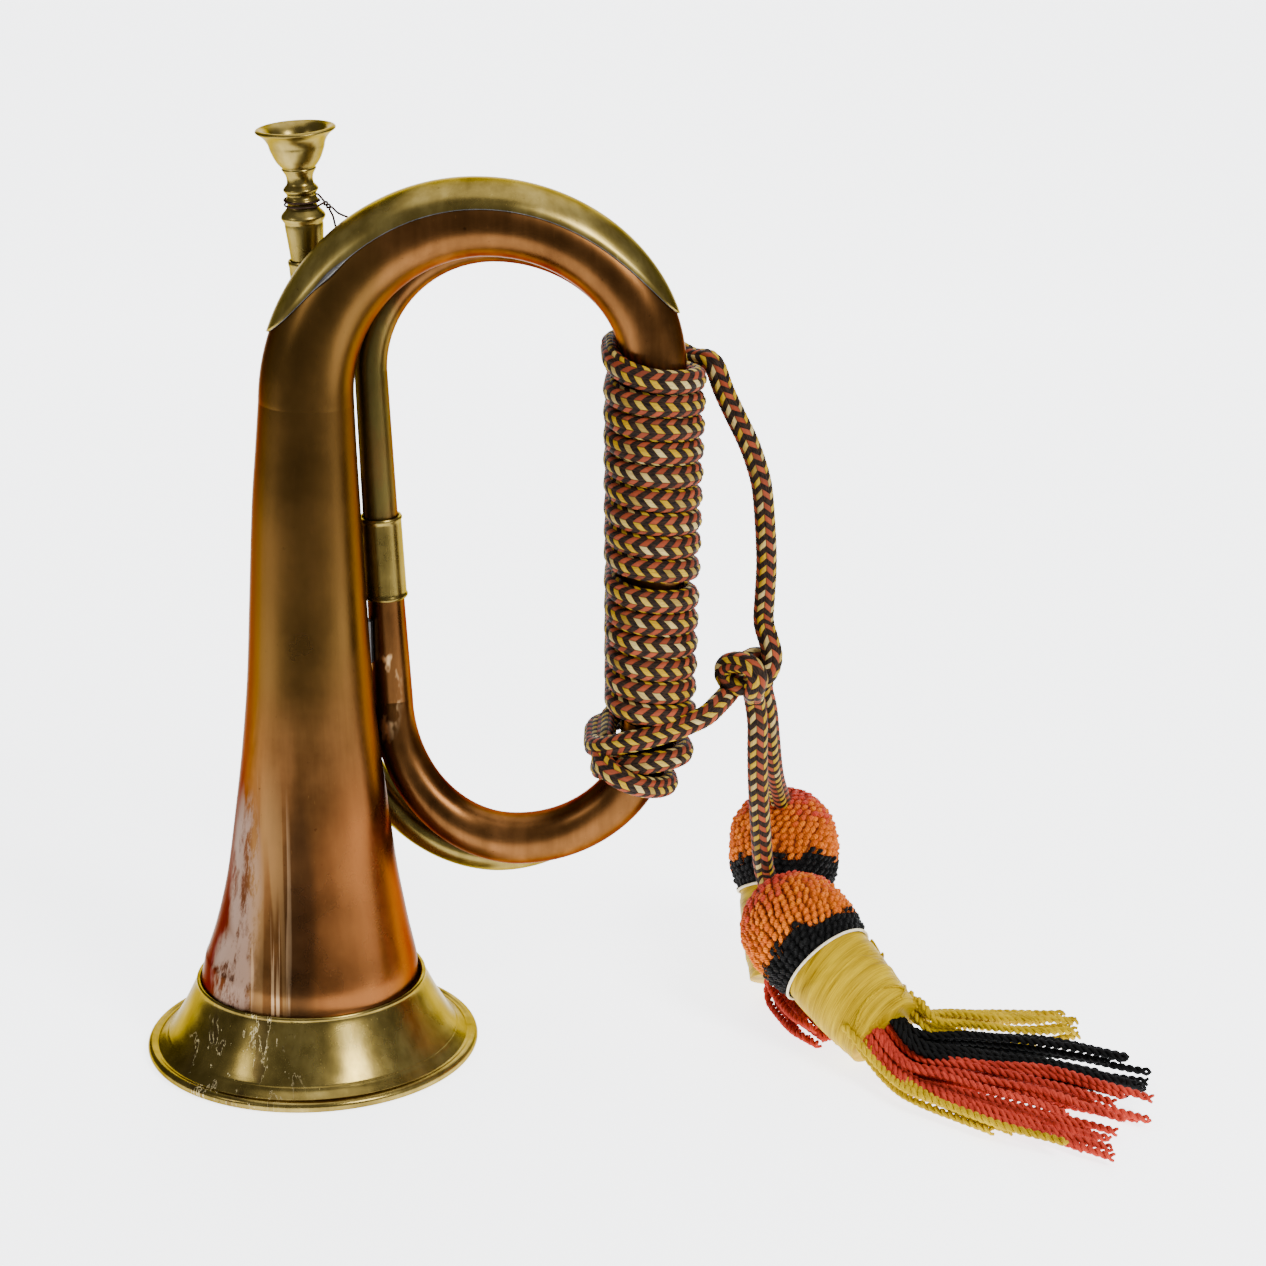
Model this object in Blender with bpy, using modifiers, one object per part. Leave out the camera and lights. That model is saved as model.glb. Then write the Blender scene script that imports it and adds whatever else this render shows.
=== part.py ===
"""Two-coil duty bugle of copper and brass, with a braided cord and two tassels.

World frame: metres, +Z up.  The bell mouth stands on z = 0, the coils lie in planes of
constant y, and the origin is under the middle of the instrument.  Positions below are
written in millimetres from the centre of the bell mouth and moved by to_world().
"""
import math

import bmesh
import bpy
from mathutils import Matrix, Vector

MM = 0.001

# Driving dimensions, millimetres.
BELL_X = -36.0          # bell axis from the world origin
RIM_RADIUS = 57.5       # bell mouth, over the rolled rim
WALL = 0.6              # sheet thickness of every tube
GAP = 0.3               # clearance between neighbouring pieces
LEVEL_END = 1.0         # upright stretch at a tube's end, so that its joint face is level
BEAD = 1.9              # radius of the rolled rim
GARLAND_TOP = 26.3      # height of the garland's upper edge
BOW_JOINT_Z = 230.0     # bell tube meets the main bow
CORD = 7.0              # braided cord diameter
GRIP_WALL = 6.4         # a turn of cord, pressed flat against the legs
GRIP_TOP = 241.8
GRIP_BOTTOM = 121.0
CORD_POINT = 2.2        # spacing of a cord's points, in cord diameters
RECEIVER_LENGTH = 21.0  # socket that the mouthpiece's shank slides into
SHANK_TOP = 44.0        # from the mouthpiece's rim down to the receiver's mouth
SHANK = 16.0            # length of shank inside the receiver
TIE_WIRE = 0.4          # radius of the wire round the mouthpiece's neck
SOLDER = 2.9            # radius of a solder bridge before the tubes hollow it

# Driving points of the two coils: (x, y, z) and tube radius.
BELL_TOP = (4.6, 0.0, BOW_JOINT_Z), 15.8
BOW_CROWN = (63.0, 0.0, 290.9), 12.45
BOW_END = (119.2, 0.0, 240.0), 10.4
LEG_FRONT_END = (117.8, 0.0, 120.0), 8.8
BOTTOM_CROWN = (70.5, 6.5, 73.9), 8.9
LEG_LOWER_END = (29.4, 15.2, 122.0), 7.0
FERRULE_LOW = (28.0, 14.0, 159.0), 6.2
FERRULE_HIGH = (26.9, 13.4, 187.6), 5.9
LEG_UPPER_END = (25.0, 13.0, 238.0), 5.5
BACK_CROWN = (66.0, 15.6, 279.2), 5.6
LEG_BACK_TOP = (115.2, 17.6, 234.0), 5.7
LEG_BACK_END = (114.7, 18.4, 122.0), 5.7
BACK_BOTTOM = (63.5, 21.5, 61.8), 5.7
LEADPIPE_END = (12.4, 30.0, 122.0), 5.7
RECEIVER_TOP = (4.1, 22.9, 273.0), 6.4

BOW_STEPS = 10          # stations on each half of the main bow

GUARD_REACH = math.radians(68)  # half angle of the saddle around the main bow
GUARD_CELLS = 5         # cells of the saddle on each side of its middle line
GUARD_SHEET = 0.5       # thickness of the saddle
GUARD_GAP = 0.45        # the saddle's flat cells come closer to the bow than its corners

BELL_SIDES = 24         # faces round each piece
RIM_SIDES = 32
BOW_SIDES = 20
TUBE_SIDES = 16
TASSEL_STEPS = 18

# The straight line that the mouthpiece, its receiver and the leadpipe share.
MOUTH_AXIS = (Vector(RECEIVER_TOP[0]) - Vector(LEADPIPE_END[0])).normalized()

# The cord: where its knot is, the routes of its four free stretches, and each tassel
# head's centre and the direction that its fringe leaves in.
KNOT = (149.6, 10.0, 136.0)
KNOT_HALF = (11.0, 9.0, 9.4)
STRAND_TOP = [(124.0, 21.5, 246.0), (130.0, 16.0, 246.6), (135.6, 12.6, 245.4),
              (139.8, 10.8, 239.0), (142.0, 10.0, 230.0), (144.4, 10.0, 221.4),
              (147.3, 10.0, 214.6), (150.4, 10.0, 207.7), (153.1, 10.0, 200.8),
              (154.9, 10.0, 190.0), (155.6, 10.0, 174.0), (155.2, 10.0, 158.8),
              (153.6, 10.0, 149.0)]
STRAND_HITCH = [(137.2, -9.4, 122.8), (138.0, -4.0, 123.6), (140.6, 1.0, 126.6),
                (143.2, 4.6, 129.8)]
TAIL_FRONT = [(153.2, 8.0, 125.4), (154.6, 8.6, 116.0), (154.8, 10.4, 104.0),
              (155.3, 13.0, 91.0), (156.4, 17.4, 76.0), (157.6, 22.4, 61.0),
              (158.6, 25.2, 53.6)]
TAIL_BACK = [(156.4, 15.8, 126.0), (158.2, 18.0, 118.0), (159.6, 23.0, 105.0),
             (161.0, 31.0, 92.0), (162.6, 41.0, 82.0), (164.4, 50.6, 73.6)]
HEAD_FRONT = (170.0, 10.0, 38.0), (0.573, -0.658, -0.488)
HEAD_BACK = (167.0, 62.0, 50.0), (0.03, -0.56, -0.83)

COLLECTION = "bugle"


def clear_scene():
    for obj in list(bpy.data.objects):
        bpy.data.objects.remove(obj, do_unlink=True)


def collection(name):
    made = bpy.data.collections.new(name)
    bpy.context.scene.collection.children.link(made)
    return made


def material(name, colour, roughness, metallic):
    made = bpy.data.materials.new(name)
    made.use_nodes = True
    shader = made.node_tree.nodes["Principled BSDF"]
    shader.inputs["Base Color"].default_value = (*colour, 1.0)
    shader.inputs["Roughness"].default_value = roughness
    shader.inputs["Metallic"].default_value = metallic
    return made


def to_world(point):
    x, y, z = point
    return Vector(((x + BELL_X) * MM, y * MM, z * MM))


def link(obj, finish, parts):
    parts.objects.link(obj)
    obj.data.materials.clear()
    obj.data.materials.append(finish)
    return obj


def smooth(obj, angle=40.0):
    obj.data.shade_smooth()
    obj.data.set_sharp_from_angle(angle=math.radians(angle))


# --- Centrelines -------------------------------------------------------------------

def mix(a, b, t):
    return a + (b - a) * t


def leg(start, end, gap=GAP):
    """Stations of a straight tube between two joints; both ends are cut level."""
    (p0, r0), (p1, r1) = start, end
    a, b = Vector(p0), Vector(p1)
    drop = Vector((0, 0, math.copysign(1.0, b.z - a.z)))
    return [(a + drop * gap, r0), (a + drop * (gap + LEVEL_END), r0),
            (b - drop * (gap + LEVEL_END), r1), (b - drop * gap, r1)]


def quarter_bow(leg_end, crown, steps, from_leg=True):
    """Stations on a quarter ellipse from a leg, where the tube is upright, to the crown."""
    (p0, r0), (p1, r1) = leg_end, crown
    a, b = Vector(p0), Vector(p1)
    level = Vector((0, 0, math.copysign(LEVEL_END, b.z - a.z)))
    stations = [(a.copy(), r0), (a + level, r0)]
    for i in range(1, steps + 1):
        t = i / steps
        angle = t * math.pi / 2
        point = Vector((b.x + (a.x - b.x) * math.cos(angle),
                        mix(a.y, b.y, t),
                        a.z + (b.z - a.z) * math.sin(angle)))
        stations.append((point, mix(r0, r1, t)))
    return stations if from_leg else stations[::-1]


def bow(left, crown, right, steps=7):
    """Stations over a whole bow: two quarter ellipses that share the crown."""
    rising = quarter_bow(left, crown, steps)
    falling = quarter_bow(right, crown, steps, from_leg=False)
    return rising + falling[1:]


def smooth_route(points, spacing):
    """Points every `spacing` along a smooth (Catmull-Rom) curve through route points."""
    knots = [Vector(p) for p in points]
    ends = [knots[0] * 2 - knots[1]] + knots + [knots[-1] * 2 - knots[-2]]
    fine = []
    for i in range(1, len(ends) - 2):
        p0, p1, p2, p3 = ends[i - 1:i + 3]
        for k in range(20):
            t = k / 20
            fine.append(0.5 * ((2 * p1) + (p2 - p0) * t
                               + (2 * p0 - 5 * p1 + 4 * p2 - p3) * t ** 2
                               + (3 * p1 - p0 - 3 * p2 + p3) * t ** 3))
    fine.append(knots[-1])
    length = sum((b - a).length for a, b in zip(fine, fine[1:]))
    count = max(2, round(length / spacing))
    wanted = [length * i / count for i in range(count + 1)]
    route, walked, j = [], 0.0, 0
    for a, b in zip(fine, fine[1:]):
        step = (b - a).length
        while j < len(wanted) and wanted[j] <= walked + step + 1e-6:
            route.append(a.lerp(b, (wanted[j] - walked) / step))
            j += 1
        walked += step
    return route


# --- Builders ----------------------------------------------------------------------

def curve_mesh(name, stations, sides, caps):
    """A tube swept along stations (point, radius) in millimetres, as a mesh."""
    data = bpy.data.curves.new(name + "_path", "CURVE")
    data.dimensions = "3D"
    data.bevel_depth = MM
    data.bevel_resolution = (sides - 4) // 2
    data.use_fill_caps = caps
    spline = data.splines.new("POLY")
    spline.points.add(len(stations) - 1)
    for knot, (point, radius) in zip(spline.points, stations):
        knot.co = (*to_world(point), 1.0)
        knot.radius = radius
    path = bpy.data.objects.new(name + "_path", data)
    bpy.context.scene.collection.objects.link(path)
    graph = bpy.context.evaluated_depsgraph_get()
    mesh = bpy.data.meshes.new_from_object(path.evaluated_get(graph))
    bpy.data.objects.remove(path, do_unlink=True)
    bm = bmesh.new()
    bm.from_mesh(mesh)
    bmesh.ops.remove_doubles(bm, verts=bm.verts, dist=1e-6)
    bm.to_mesh(mesh)
    bm.free()
    mesh.name = name
    return mesh


def pipe(name, stations, finish, parts, sides=TUBE_SIDES, wall=WALL):
    """An open-ended metal tube: the swept skin given its wall inwards."""
    obj = bpy.data.objects.new(name, curve_mesh(name, stations, sides, caps=False))
    link(obj, finish, parts)
    shell = obj.modifiers.new("wall", "SOLIDIFY")
    shell.thickness = wall * MM
    shell.offset = -1.0
    shell.use_even_offset = True
    smooth(obj)
    return obj


def rod(name, stations, finish, parts, sides=10):
    """A solid round strand with closed ends."""
    obj = bpy.data.objects.new(name, curve_mesh(name, stations, sides, caps=True))
    link(obj, finish, parts)
    smooth(obj, 60.0)
    return obj


def turned(name, outline, finish, parts, steps=28, closed=True):
    """An outline (radius, height) in millimetres turned about its own Z axis.

    A closed outline makes a ring or a hollow piece.  An open one starts and ends on the
    axis, running up the side, and makes a solid.
    """
    mesh = bpy.data.meshes.new(name)
    bm = bmesh.new()
    ring = [bm.verts.new((r * MM, 0.0, z * MM)) for r, z in outline]
    for a, b in zip(ring, ring[1:] + ring[:1] if closed else ring[1:]):
        bm.edges.new((a, b))
    bm.to_mesh(mesh)
    bm.free()
    obj = bpy.data.objects.new(name, mesh)
    link(obj, finish, parts)
    spin = obj.modifiers.new("turn", "SCREW")
    spin.steps = steps
    spin.render_steps = steps
    spin.use_merge_vertices = True
    spin.merge_threshold = 0.00002
    spin.use_smooth_shade = True
    return obj


def set_origin(obj, point):
    """Put the object's origin at a point on its joint's axis, without moving its mesh."""
    place = to_world(point)
    obj.data.transform(Matrix.Translation(-place))
    obj.location = place


def loft(name, rings, finish, parts, closed_ends=True):
    """A skin through rings of world points, all with the same count."""
    mesh = bpy.data.meshes.new(name)
    bm = bmesh.new()
    rows = [[bm.verts.new(p) for p in ring] for ring in rings]
    count = len(rows[0])
    for low, high in zip(rows, rows[1:]):
        for i in range(count):
            j = (i + 1) % count
            bm.faces.new((low[i], low[j], high[j], high[i]))
    if closed_ends:
        bm.faces.new(rows[0][::-1])
        bm.faces.new(rows[-1])
        bmesh.ops.recalc_face_normals(bm, faces=bm.faces)
    bm.to_mesh(mesh)
    bm.free()
    obj = bpy.data.objects.new(name, mesh)
    link(obj, finish, parts)
    smooth(obj, 50.0)
    return obj


def bundle(name, route, finish, parts, sides=10):
    """A plain lump for a bundle of strands: (centre, half width, half height) per ring."""
    rings = []
    for i, (centre, width, height) in enumerate(route):
        before = Vector(route[max(i - 1, 0)][0])
        after = Vector(route[min(i + 1, len(route) - 1)][0])
        along = (after - before).normalized()
        across = along.cross(Vector((0, 0, 1))).normalized()
        upward = across.cross(along).normalized()
        ring = []
        for k in range(sides):
            angle = 2 * math.pi * k / sides
            point = (Vector(centre) + across * width * math.cos(angle)
                     + upward * height * math.sin(angle))
            point.z = max(point.z, 0.0)
            ring.append(to_world(point))
        rings.append(ring)
    return loft(name, rings, finish, parts)


def hull_ring(circles, offset, z, count=24):
    """Outline at height z around several circles (x, y, radius), `offset` outside them."""
    ring = []
    for k in range(count):
        angle = 2 * math.pi * k / count
        normal = Vector((math.cos(angle), math.sin(angle)))
        x, y, r = max(circles, key=lambda c: normal.dot(Vector(c[:2])) + c[2])
        ring.append(to_world((x + (r + offset) * normal.x, y + (r + offset) * normal.y, z)))
    return ring


def wrap_solid(name, levels, finish, parts):
    """A thick sleeve round the legs: levels of (height, circles, clearance, wall)."""
    outer = [hull_ring(c, gap + wall, z) for z, c, gap, wall in levels]
    inner = [hull_ring(c, gap, z) for z, c, gap, wall in levels]
    rings = outer + inner[::-1] + outer[:1]
    mesh = loft(name, rings, finish, parts, closed_ends=False)
    bm = bmesh.new()
    bm.from_mesh(mesh.data)
    bmesh.ops.remove_doubles(bm, verts=bm.verts, dist=1e-6)
    bmesh.ops.recalc_face_normals(bm, faces=bm.faces)
    bm.to_mesh(mesh.data)
    bm.free()
    return mesh


def axis_frame(base, direction):
    """Matrix whose Z is `direction` and whose X leans the least from world X."""
    z = Vector(direction).normalized()
    x = (Vector((1, 0, 0)) - z * z.x).normalized()
    y = z.cross(x)
    frame = Matrix((x, y, z)).transposed().to_4x4()
    frame.translation = to_world(base)
    return frame


# --- The instrument ----------------------------------------------------------------

def ellipse_leg(start, crown, height):
    """Centre of a bow at a given height, on the leg's side of the crown."""
    (x0, y0, z0), (xc, yc, zc) = start, crown
    lift = (height - z0) / (zc - z0)
    t = math.asin(lift) / (math.pi / 2)
    return xc + (x0 - xc) * math.cos(math.asin(lift)), mix(y0, yc, t)


def make_bell(copper, brass, iron, parts):
    heights = [(6.5, 0.0, 48.4), (15.0, 0.0, 43.0), (26.3, 0.0, 37.9), (34.0, 0.6, 36.3),
               (44.0, 1.1, 33.6), (55.0, 1.5, 31.1), (68.0, 1.8, 28.7), (88.0, 2.2, 26.1),
               (110.0, 2.5, 23.4), (135.0, 2.8, 21.1), (165.0, 3.1, 19.5),
               (195.0, 3.5, 18.0), (BOW_JOINT_Z - GAP - LEVEL_END, 4.6, 15.8),
               (BOW_JOINT_Z - GAP, 4.6, 15.8)]
    stations = [((x, 0.0, z), r) for z, x, r in heights]
    pipe("bell_tube", stations, copper, parts, BELL_SIDES)

    sheet = 0.5
    cone = [(39.3, GARLAND_TOP), (41.3, 21.5), (44.4, 15.3), (47.6, 9.8), (50.8, 5.9),
            (53.4, 3.9)]
    inside = [(r - sheet * 0.9, z - sheet * 0.55) for r, z in cone[1:]]
    inside.insert(0, (39.3 - sheet, GARLAND_TOP))
    middle = (RIM_RADIUS - BEAD, BEAD)
    corner = math.cos(math.radians(22.5))
    turns = [math.radians(a) for a in (112.5, 67.5, 22.5, -22.5, -67.5, -112.5, -157.5)]

    def arc(radius):
        return [(middle[0] + radius / corner * math.cos(a),
                 middle[1] + radius / corner * math.sin(a)) for a in turns]

    outline = cone + arc(BEAD) + arc(BEAD - sheet)[::-1] + inside[::-1]
    garland = turned("bell_garland", outline, brass, parts, RIM_SIDES)
    garland.location = to_world((0, 0, 0))

    wire = [(middle[0] + 1.05 * math.cos(a), middle[1] + 1.05 * math.sin(a))
            for a in [math.radians(60 * k) for k in range(6)][::-1]]
    rim = turned("rim_wire", wire, iron, parts, RIM_SIDES)
    rim.location = to_world((0, 0, 0))


def main_bow():
    """Stations of the main top bow, which its guard shares."""
    return bow(BELL_TOP, BOW_CROWN, BOW_END, BOW_STEPS)


def make_front_coil(copper, brass, parts):
    pipe("top_bow_front", main_bow(), copper, parts, BOW_SIDES)
    pipe("right_leg_front", leg(BOW_END, LEG_FRONT_END), copper, parts, BOW_SIDES)
    pipe("bottom_bow_front", bow(LEG_LOWER_END, BOTTOM_CROWN, LEG_FRONT_END), copper, parts)
    joint = Vector(FERRULE_LOW[0]).lerp(Vector(FERRULE_HIGH[0]), 0.5), 6.05
    pipe("left_leg_lower", leg(LEG_LOWER_END, joint), copper, parts)
    pipe("left_leg_upper", leg(joint, LEG_UPPER_END), copper, parts)
    ferrule = [(Vector(FERRULE_LOW[0]), FERRULE_LOW[1] + 1.1),
               (Vector(FERRULE_HIGH[0]), FERRULE_HIGH[1] + 1.15)]
    pipe("leg_ferrule", ferrule, brass, parts, wall=0.5)


def make_back_coil(copper, brass, parts):
    pipe("top_bow_back", bow(LEG_UPPER_END, BACK_CROWN, LEG_BACK_TOP), copper, parts)
    pipe("right_leg_back", leg(LEG_BACK_TOP, LEG_BACK_END), copper, parts)
    pipe("bottom_bow_back", bow(LEADPIPE_END, BACK_BOTTOM, LEG_BACK_END), brass, parts)
    foot, radius = LEADPIPE_END
    pipe("leadpipe", [(Vector(foot) + Vector((0, 0, GAP)), radius),
                      (Vector(foot) + Vector((0, 0, GAP + LEVEL_END)), radius),
                      (receiver_point(RECEIVER_LENGTH + GAP), radius)], brass, parts)


def receiver_point(depth):
    """Point on the mouthpiece axis, `depth` below the receiver's mouth."""
    return Vector(RECEIVER_TOP[0]) - MOUTH_AXIS * depth


def guard_frames():
    """Centre and outward radius vector along the guard, finer where it narrows."""
    stations = main_bow()
    first, last = 3, len(stations) - 4
    frames = []
    for i in range(first, last + 1):
        point, radius = stations[i]
        before = (point - stations[i - 1][0]).normalized()
        after = (stations[i + 1][0] - point).normalized()
        outward = (before + after).normalized().cross(Vector((0, 1, 0)))
        frames.append((point, outward * radius))
    fine = []
    for i, (low, high) in enumerate(zip(frames, frames[1:])):
        near_tip = i < 2 or i >= len(frames) - 3
        steps = 4 if near_tip else 1
        for k in range(steps):
            t = k / steps
            place = 2 * (i + t) / (len(frames) - 1) - 1
            fine.append((place, low[0].lerp(high[0], t), low[1].lerp(high[1], t)))
    fine.append((1.0, *frames[-1]))
    return fine


def make_guard(brass, parts):
    """Brass saddle on the outer side of the main bow, narrowing to a point at each end."""
    mesh = bpy.data.meshes.new("bow_guard")
    bm = bmesh.new()
    grid = []
    for place, centre, spoke in guard_frames():
        reach = GUARD_REACH * max(math.sqrt(1 - place ** 6), 0.12)
        row = []
        for k in range(-GUARD_CELLS, GUARD_CELLS + 1):
            angle = reach * k / GUARD_CELLS
            across = Vector((0, 1, 0)) * spoke.length * math.sin(angle)
            radial = spoke * math.cos(angle) + across
            outside = centre + radial + radial.normalized() * GUARD_GAP
            row.append(bm.verts.new(to_world(outside)))
        grid.append(row)
    for low, high in zip(grid, grid[1:]):
        for k in range(2 * GUARD_CELLS):
            bm.faces.new((low[k], high[k], high[k + 1], low[k + 1]))
    bm.normal_update()
    if grid[len(grid) // 2][GUARD_CELLS].normal.z < 0:
        bmesh.ops.reverse_faces(bm, faces=bm.faces)
    bm.to_mesh(mesh)
    bm.free()
    obj = bpy.data.objects.new("bow_guard", mesh)
    link(obj, brass, parts)
    shell = obj.modifiers.new("wall", "SOLIDIFY")
    shell.thickness = GUARD_SHEET * MM
    shell.offset = 1.0
    smooth(obj)


def make_solder(name, start, end, tubes, finish, parts, cutters):
    """A solder bridge between two tubes: a short rod hollowed by both of them."""
    bridge = rod(name, [(start, SOLDER), (end, SOLDER)], finish, parts)
    for k, stations in enumerate(tubes):
        wider = [(Vector(p), r + 1.5 * GAP) for p, r in stations]
        tool = bpy.data.objects.new(f"cut_{name}_{k}", curve_mesh(name, wider, 24, caps=True))
        cutters.objects.link(tool)
        tool.hide_render = True
        tool.display_type = "WIRE"
        cut = bridge.modifiers.new(f"cut_{k}", "BOOLEAN")
        cut.operation = "DIFFERENCE"
        cut.object = tool


def make_solders(solder, parts, cutters):
    bell = [((2.8, 0, 135), 21.1), ((3.1, 0, 165), 19.5), ((3.5, 0, 195), 18.0),
            ((4.6, 0, 230), 15.8)]
    leg = [(Vector(LEG_LOWER_END[0]), LEG_LOWER_END[1]),
           (Vector(FERRULE_LOW[0]), FERRULE_LOW[1])]
    leadpipe = [LEADPIPE_END, (receiver_point(RECEIVER_LENGTH + GAP), 5.7)]
    make_solder("solder_leg", (20.8, 9.6, 137.0), (20.8, 9.0, 152.0), [bell, leg],
                solder, parts, cutters)
    make_solder("solder_leadpipe", (7.7, 20.1, 178.0), (7.0, 19.3, 196.0),
                [bell, leadpipe], solder, parts, cutters)
    back = bow(LEG_UPPER_END, BACK_CROWN, LEG_BACK_TOP)
    make_solder("solder_bows_top", (58.0, 10.7, 282.2), (72.0, 11.0, 282.4),
                [main_bow(), back], solder, parts, cutters)
    low_front = bow(LEG_LOWER_END, BOTTOM_CROWN, LEG_FRONT_END)
    low_back = bow(LEADPIPE_END, BACK_BOTTOM, LEG_BACK_END)
    make_solder("solder_bows_low", (61.0, 15.7, 67.6), (73.0, 15.0, 67.2),
                [low_front, low_back], solder, parts, cutters)


def make_mouthpiece(brass, iron, parts):
    shell = [(6.4, 0.0), (5.9, -RECEIVER_LENGTH), (5.3, -RECEIVER_LENGTH), (5.8, 0.0)]
    receiver = turned("mouthpiece_receiver", shell, brass, parts, steps=20)
    receiver.matrix_world = axis_frame(RECEIVER_TOP[0], MOUTH_AXIS)

    shank_top = -SHANK_TOP
    outside = [(12.9, 0.0), (13.3, -0.5), (12.8, -1.1), (11.1, -2.5), (9.5, -5.1),
               (8.7, -7.8), (7.6, -10.3), (5.9, -12.8), (5.2, -14.2), (4.4, -16.2),
               (4.7, -18.6), (5.8, -20.3), (4.9, -21.8), (5.0, -23.3), (5.4, -24.1),
               (5.0, -25.0), (5.4, -26.9), (7.4, -29.6), (6.5, -31.2), (6.35, -33.0),
               (5.5, shank_top), (4.9, shank_top - SHANK)]
    inside = [(3.9, shank_top - SHANK), (1.9, -20.0), (1.9, -15.0), (3.4, -12.0),
              (5.5, -9.4), (7.2, -6.0), (8.7, -2.6), (10.2, -0.7), (11.6, 0.0)]
    rim = Vector(RECEIVER_TOP[0]) + MOUTH_AXIS * SHANK_TOP
    mouthpiece = turned("mouthpiece", outside + inside, brass, parts, steps=20)
    mouthpiece.matrix_world = axis_frame(rim, MOUTH_AXIS)

    wire = rod("tie_wire", [(p, TIE_WIRE) for p in tie_route(rim)], iron, parts, sides=8)
    set_origin(wire, rim)


def tie_route(rim):
    """Wire: loose end, twist, two turns round the neck, twist, loose end."""
    frame = axis_frame((0, 0, 0), MOUTH_AXIS).to_3x3()

    def place(x, y, z):
        return rim + frame @ Vector((x, y, z))

    neck_radius = 6.25
    turns = 2.0
    loop = []
    steps = 26
    for i in range(steps + 1):
        angle = math.radians(14) + (2 * math.pi * turns - math.radians(28)) * i / steps
        loop.append(place(neck_radius * math.cos(angle), neck_radius * math.sin(angle),
                          -22.9 - 3.4 * i / steps))
    twist_start, twist_end = Vector((7.4, 0.0, -25.2)), Vector((9.4, 0.0, -27.6))
    along = (twist_end - twist_start).normalized()
    side = along.cross(Vector((0, 1, 0)))

    def twisted(phase):
        strand = []
        for i in range(9):
            angle = phase + 2 * math.pi * 1.25 * i / 8
            centre = twist_start.lerp(twist_end, i / 8)
            offset = side * math.sin(angle) * 0.66 + Vector((0, 1, 0)) * math.cos(angle) * 0.66
            strand.append(place(*(centre + offset)))
        return strand

    first = twisted(0.0)
    second = twisted(math.pi)
    end_a = [place(11.4, 0.9, -29.2), place(14.2, 1.6, -30.9), place(18.6, 2.4, -33.2)]
    end_b = [place(9.9, -1.2, -29.8), place(10.4, -1.0, -33.2), place(11.2, 0.6, -37.6)]
    return end_a[::-1] + first[::-1] + loop + second + end_b


# --- The cord and its tassels ------------------------------------------------------

def leg_circles(height, slack=0.0):
    """Both right legs where they pass a height, as (x, y, radius)."""
    front, back = LEG_FRONT_END[0], LEG_BACK_END[0]
    if height > BOW_END[0][2]:
        fx, fy = ellipse_leg(BOW_END[0], BOW_CROWN[0], height)
        fr = BOW_END[1]
    elif height >= front[2]:
        t = (height - front[2]) / (BOW_END[0][2] - front[2])
        fx, fr = mix(front[0], BOW_END[0][0], t), mix(LEG_FRONT_END[1], BOW_END[1], t)
        fy = 0.0
    else:
        fx, fy = ellipse_leg(front, BOTTOM_CROWN[0], height)
        fr = LEG_FRONT_END[1] * 1.1
    if height > LEG_BACK_TOP[0][2]:
        bx, by = ellipse_leg(LEG_BACK_TOP[0], BACK_CROWN[0], height)
    elif height >= back[2]:
        t = (height - back[2]) / (LEG_BACK_TOP[0][2] - back[2])
        bx, by = mix(back[0], LEG_BACK_TOP[0][0], t), mix(back[1], LEG_BACK_TOP[0][1], t)
    else:
        bx, by = ellipse_leg(back, BACK_BOTTOM[0], height)
    return [(fx, fy, fr + slack), (bx, by, LEG_BACK_END[1] + slack)]


def make_cord(braid, parts):
    grip = [(z, leg_circles(z, 0.5), GAP, GRIP_WALL)
            for z in (GRIP_BOTTOM, 180.0, 234.0, GRIP_TOP)]
    wrap_solid("cord_grip", grip, braid, parts)
    hitch = [(98.0, leg_circles(98.0, 1.0), 0.8, 7.5), (104.0, leg_circles(104.0, 0.8), 0.6, 11.0),
             (112.0, leg_circles(112.0, 0.4), 0.6, 11.5),
             (GRIP_BOTTOM - GAP, leg_circles(GRIP_BOTTOM, 0.2), 0.6, 8.0)]
    wrap_solid("cord_hitch", hitch, braid, parts)
    knot = bpy.data.objects.new("cord_knot", bpy.data.meshes.new("cord_knot"))
    bm = bmesh.new()
    bmesh.ops.create_uvsphere(bm, u_segments=16, v_segments=10, radius=1.0)
    bmesh.ops.scale(bm, verts=bm.verts, vec=Vector(KNOT_HALF) * MM)
    bm.to_mesh(knot.data)
    bm.free()
    link(knot, braid, parts)
    knot.location = to_world(KNOT)
    smooth(knot)
    for name, route in (("cord_strand_top", STRAND_TOP), ("cord_strand_hitch", STRAND_HITCH),
                        ("cord_tail_front", TAIL_FRONT), ("cord_tail_back", TAIL_BACK)):
        stations = [(p, CORD / 2) for p in smooth_route(route, CORD_POINT * CORD)]
        rod(name, stations, braid, parts)


def make_tassel(side, head_place, crochet, floss, parts):
    centre, direction = head_place
    frame = axis_frame(centre, direction)
    head_outline = [(0.0, 16.2), (17.0, 16.2), (18.6, 12.0), (19.6, 7.0), (19.9, 0.0),
                    (18.3, -8.0), (14.2, -14.0), (9.0, -18.0), (3.0, -20.0), (0.0, -20.0)]
    head = turned(f"tassel_{side}_head", head_outline, crochet, parts, TASSEL_STEPS, False)
    head.matrix_world = frame
    band_outline = [(0.0, 50.0), (14.4, 50.0), (15.4, 38.0), (16.6, 26.0), (16.8, 16.5),
                    (0.0, 16.5)]
    band = turned(f"tassel_{side}_band", band_outline, floss, parts, TASSEL_STEPS, False)
    band.matrix_world = frame


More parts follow.
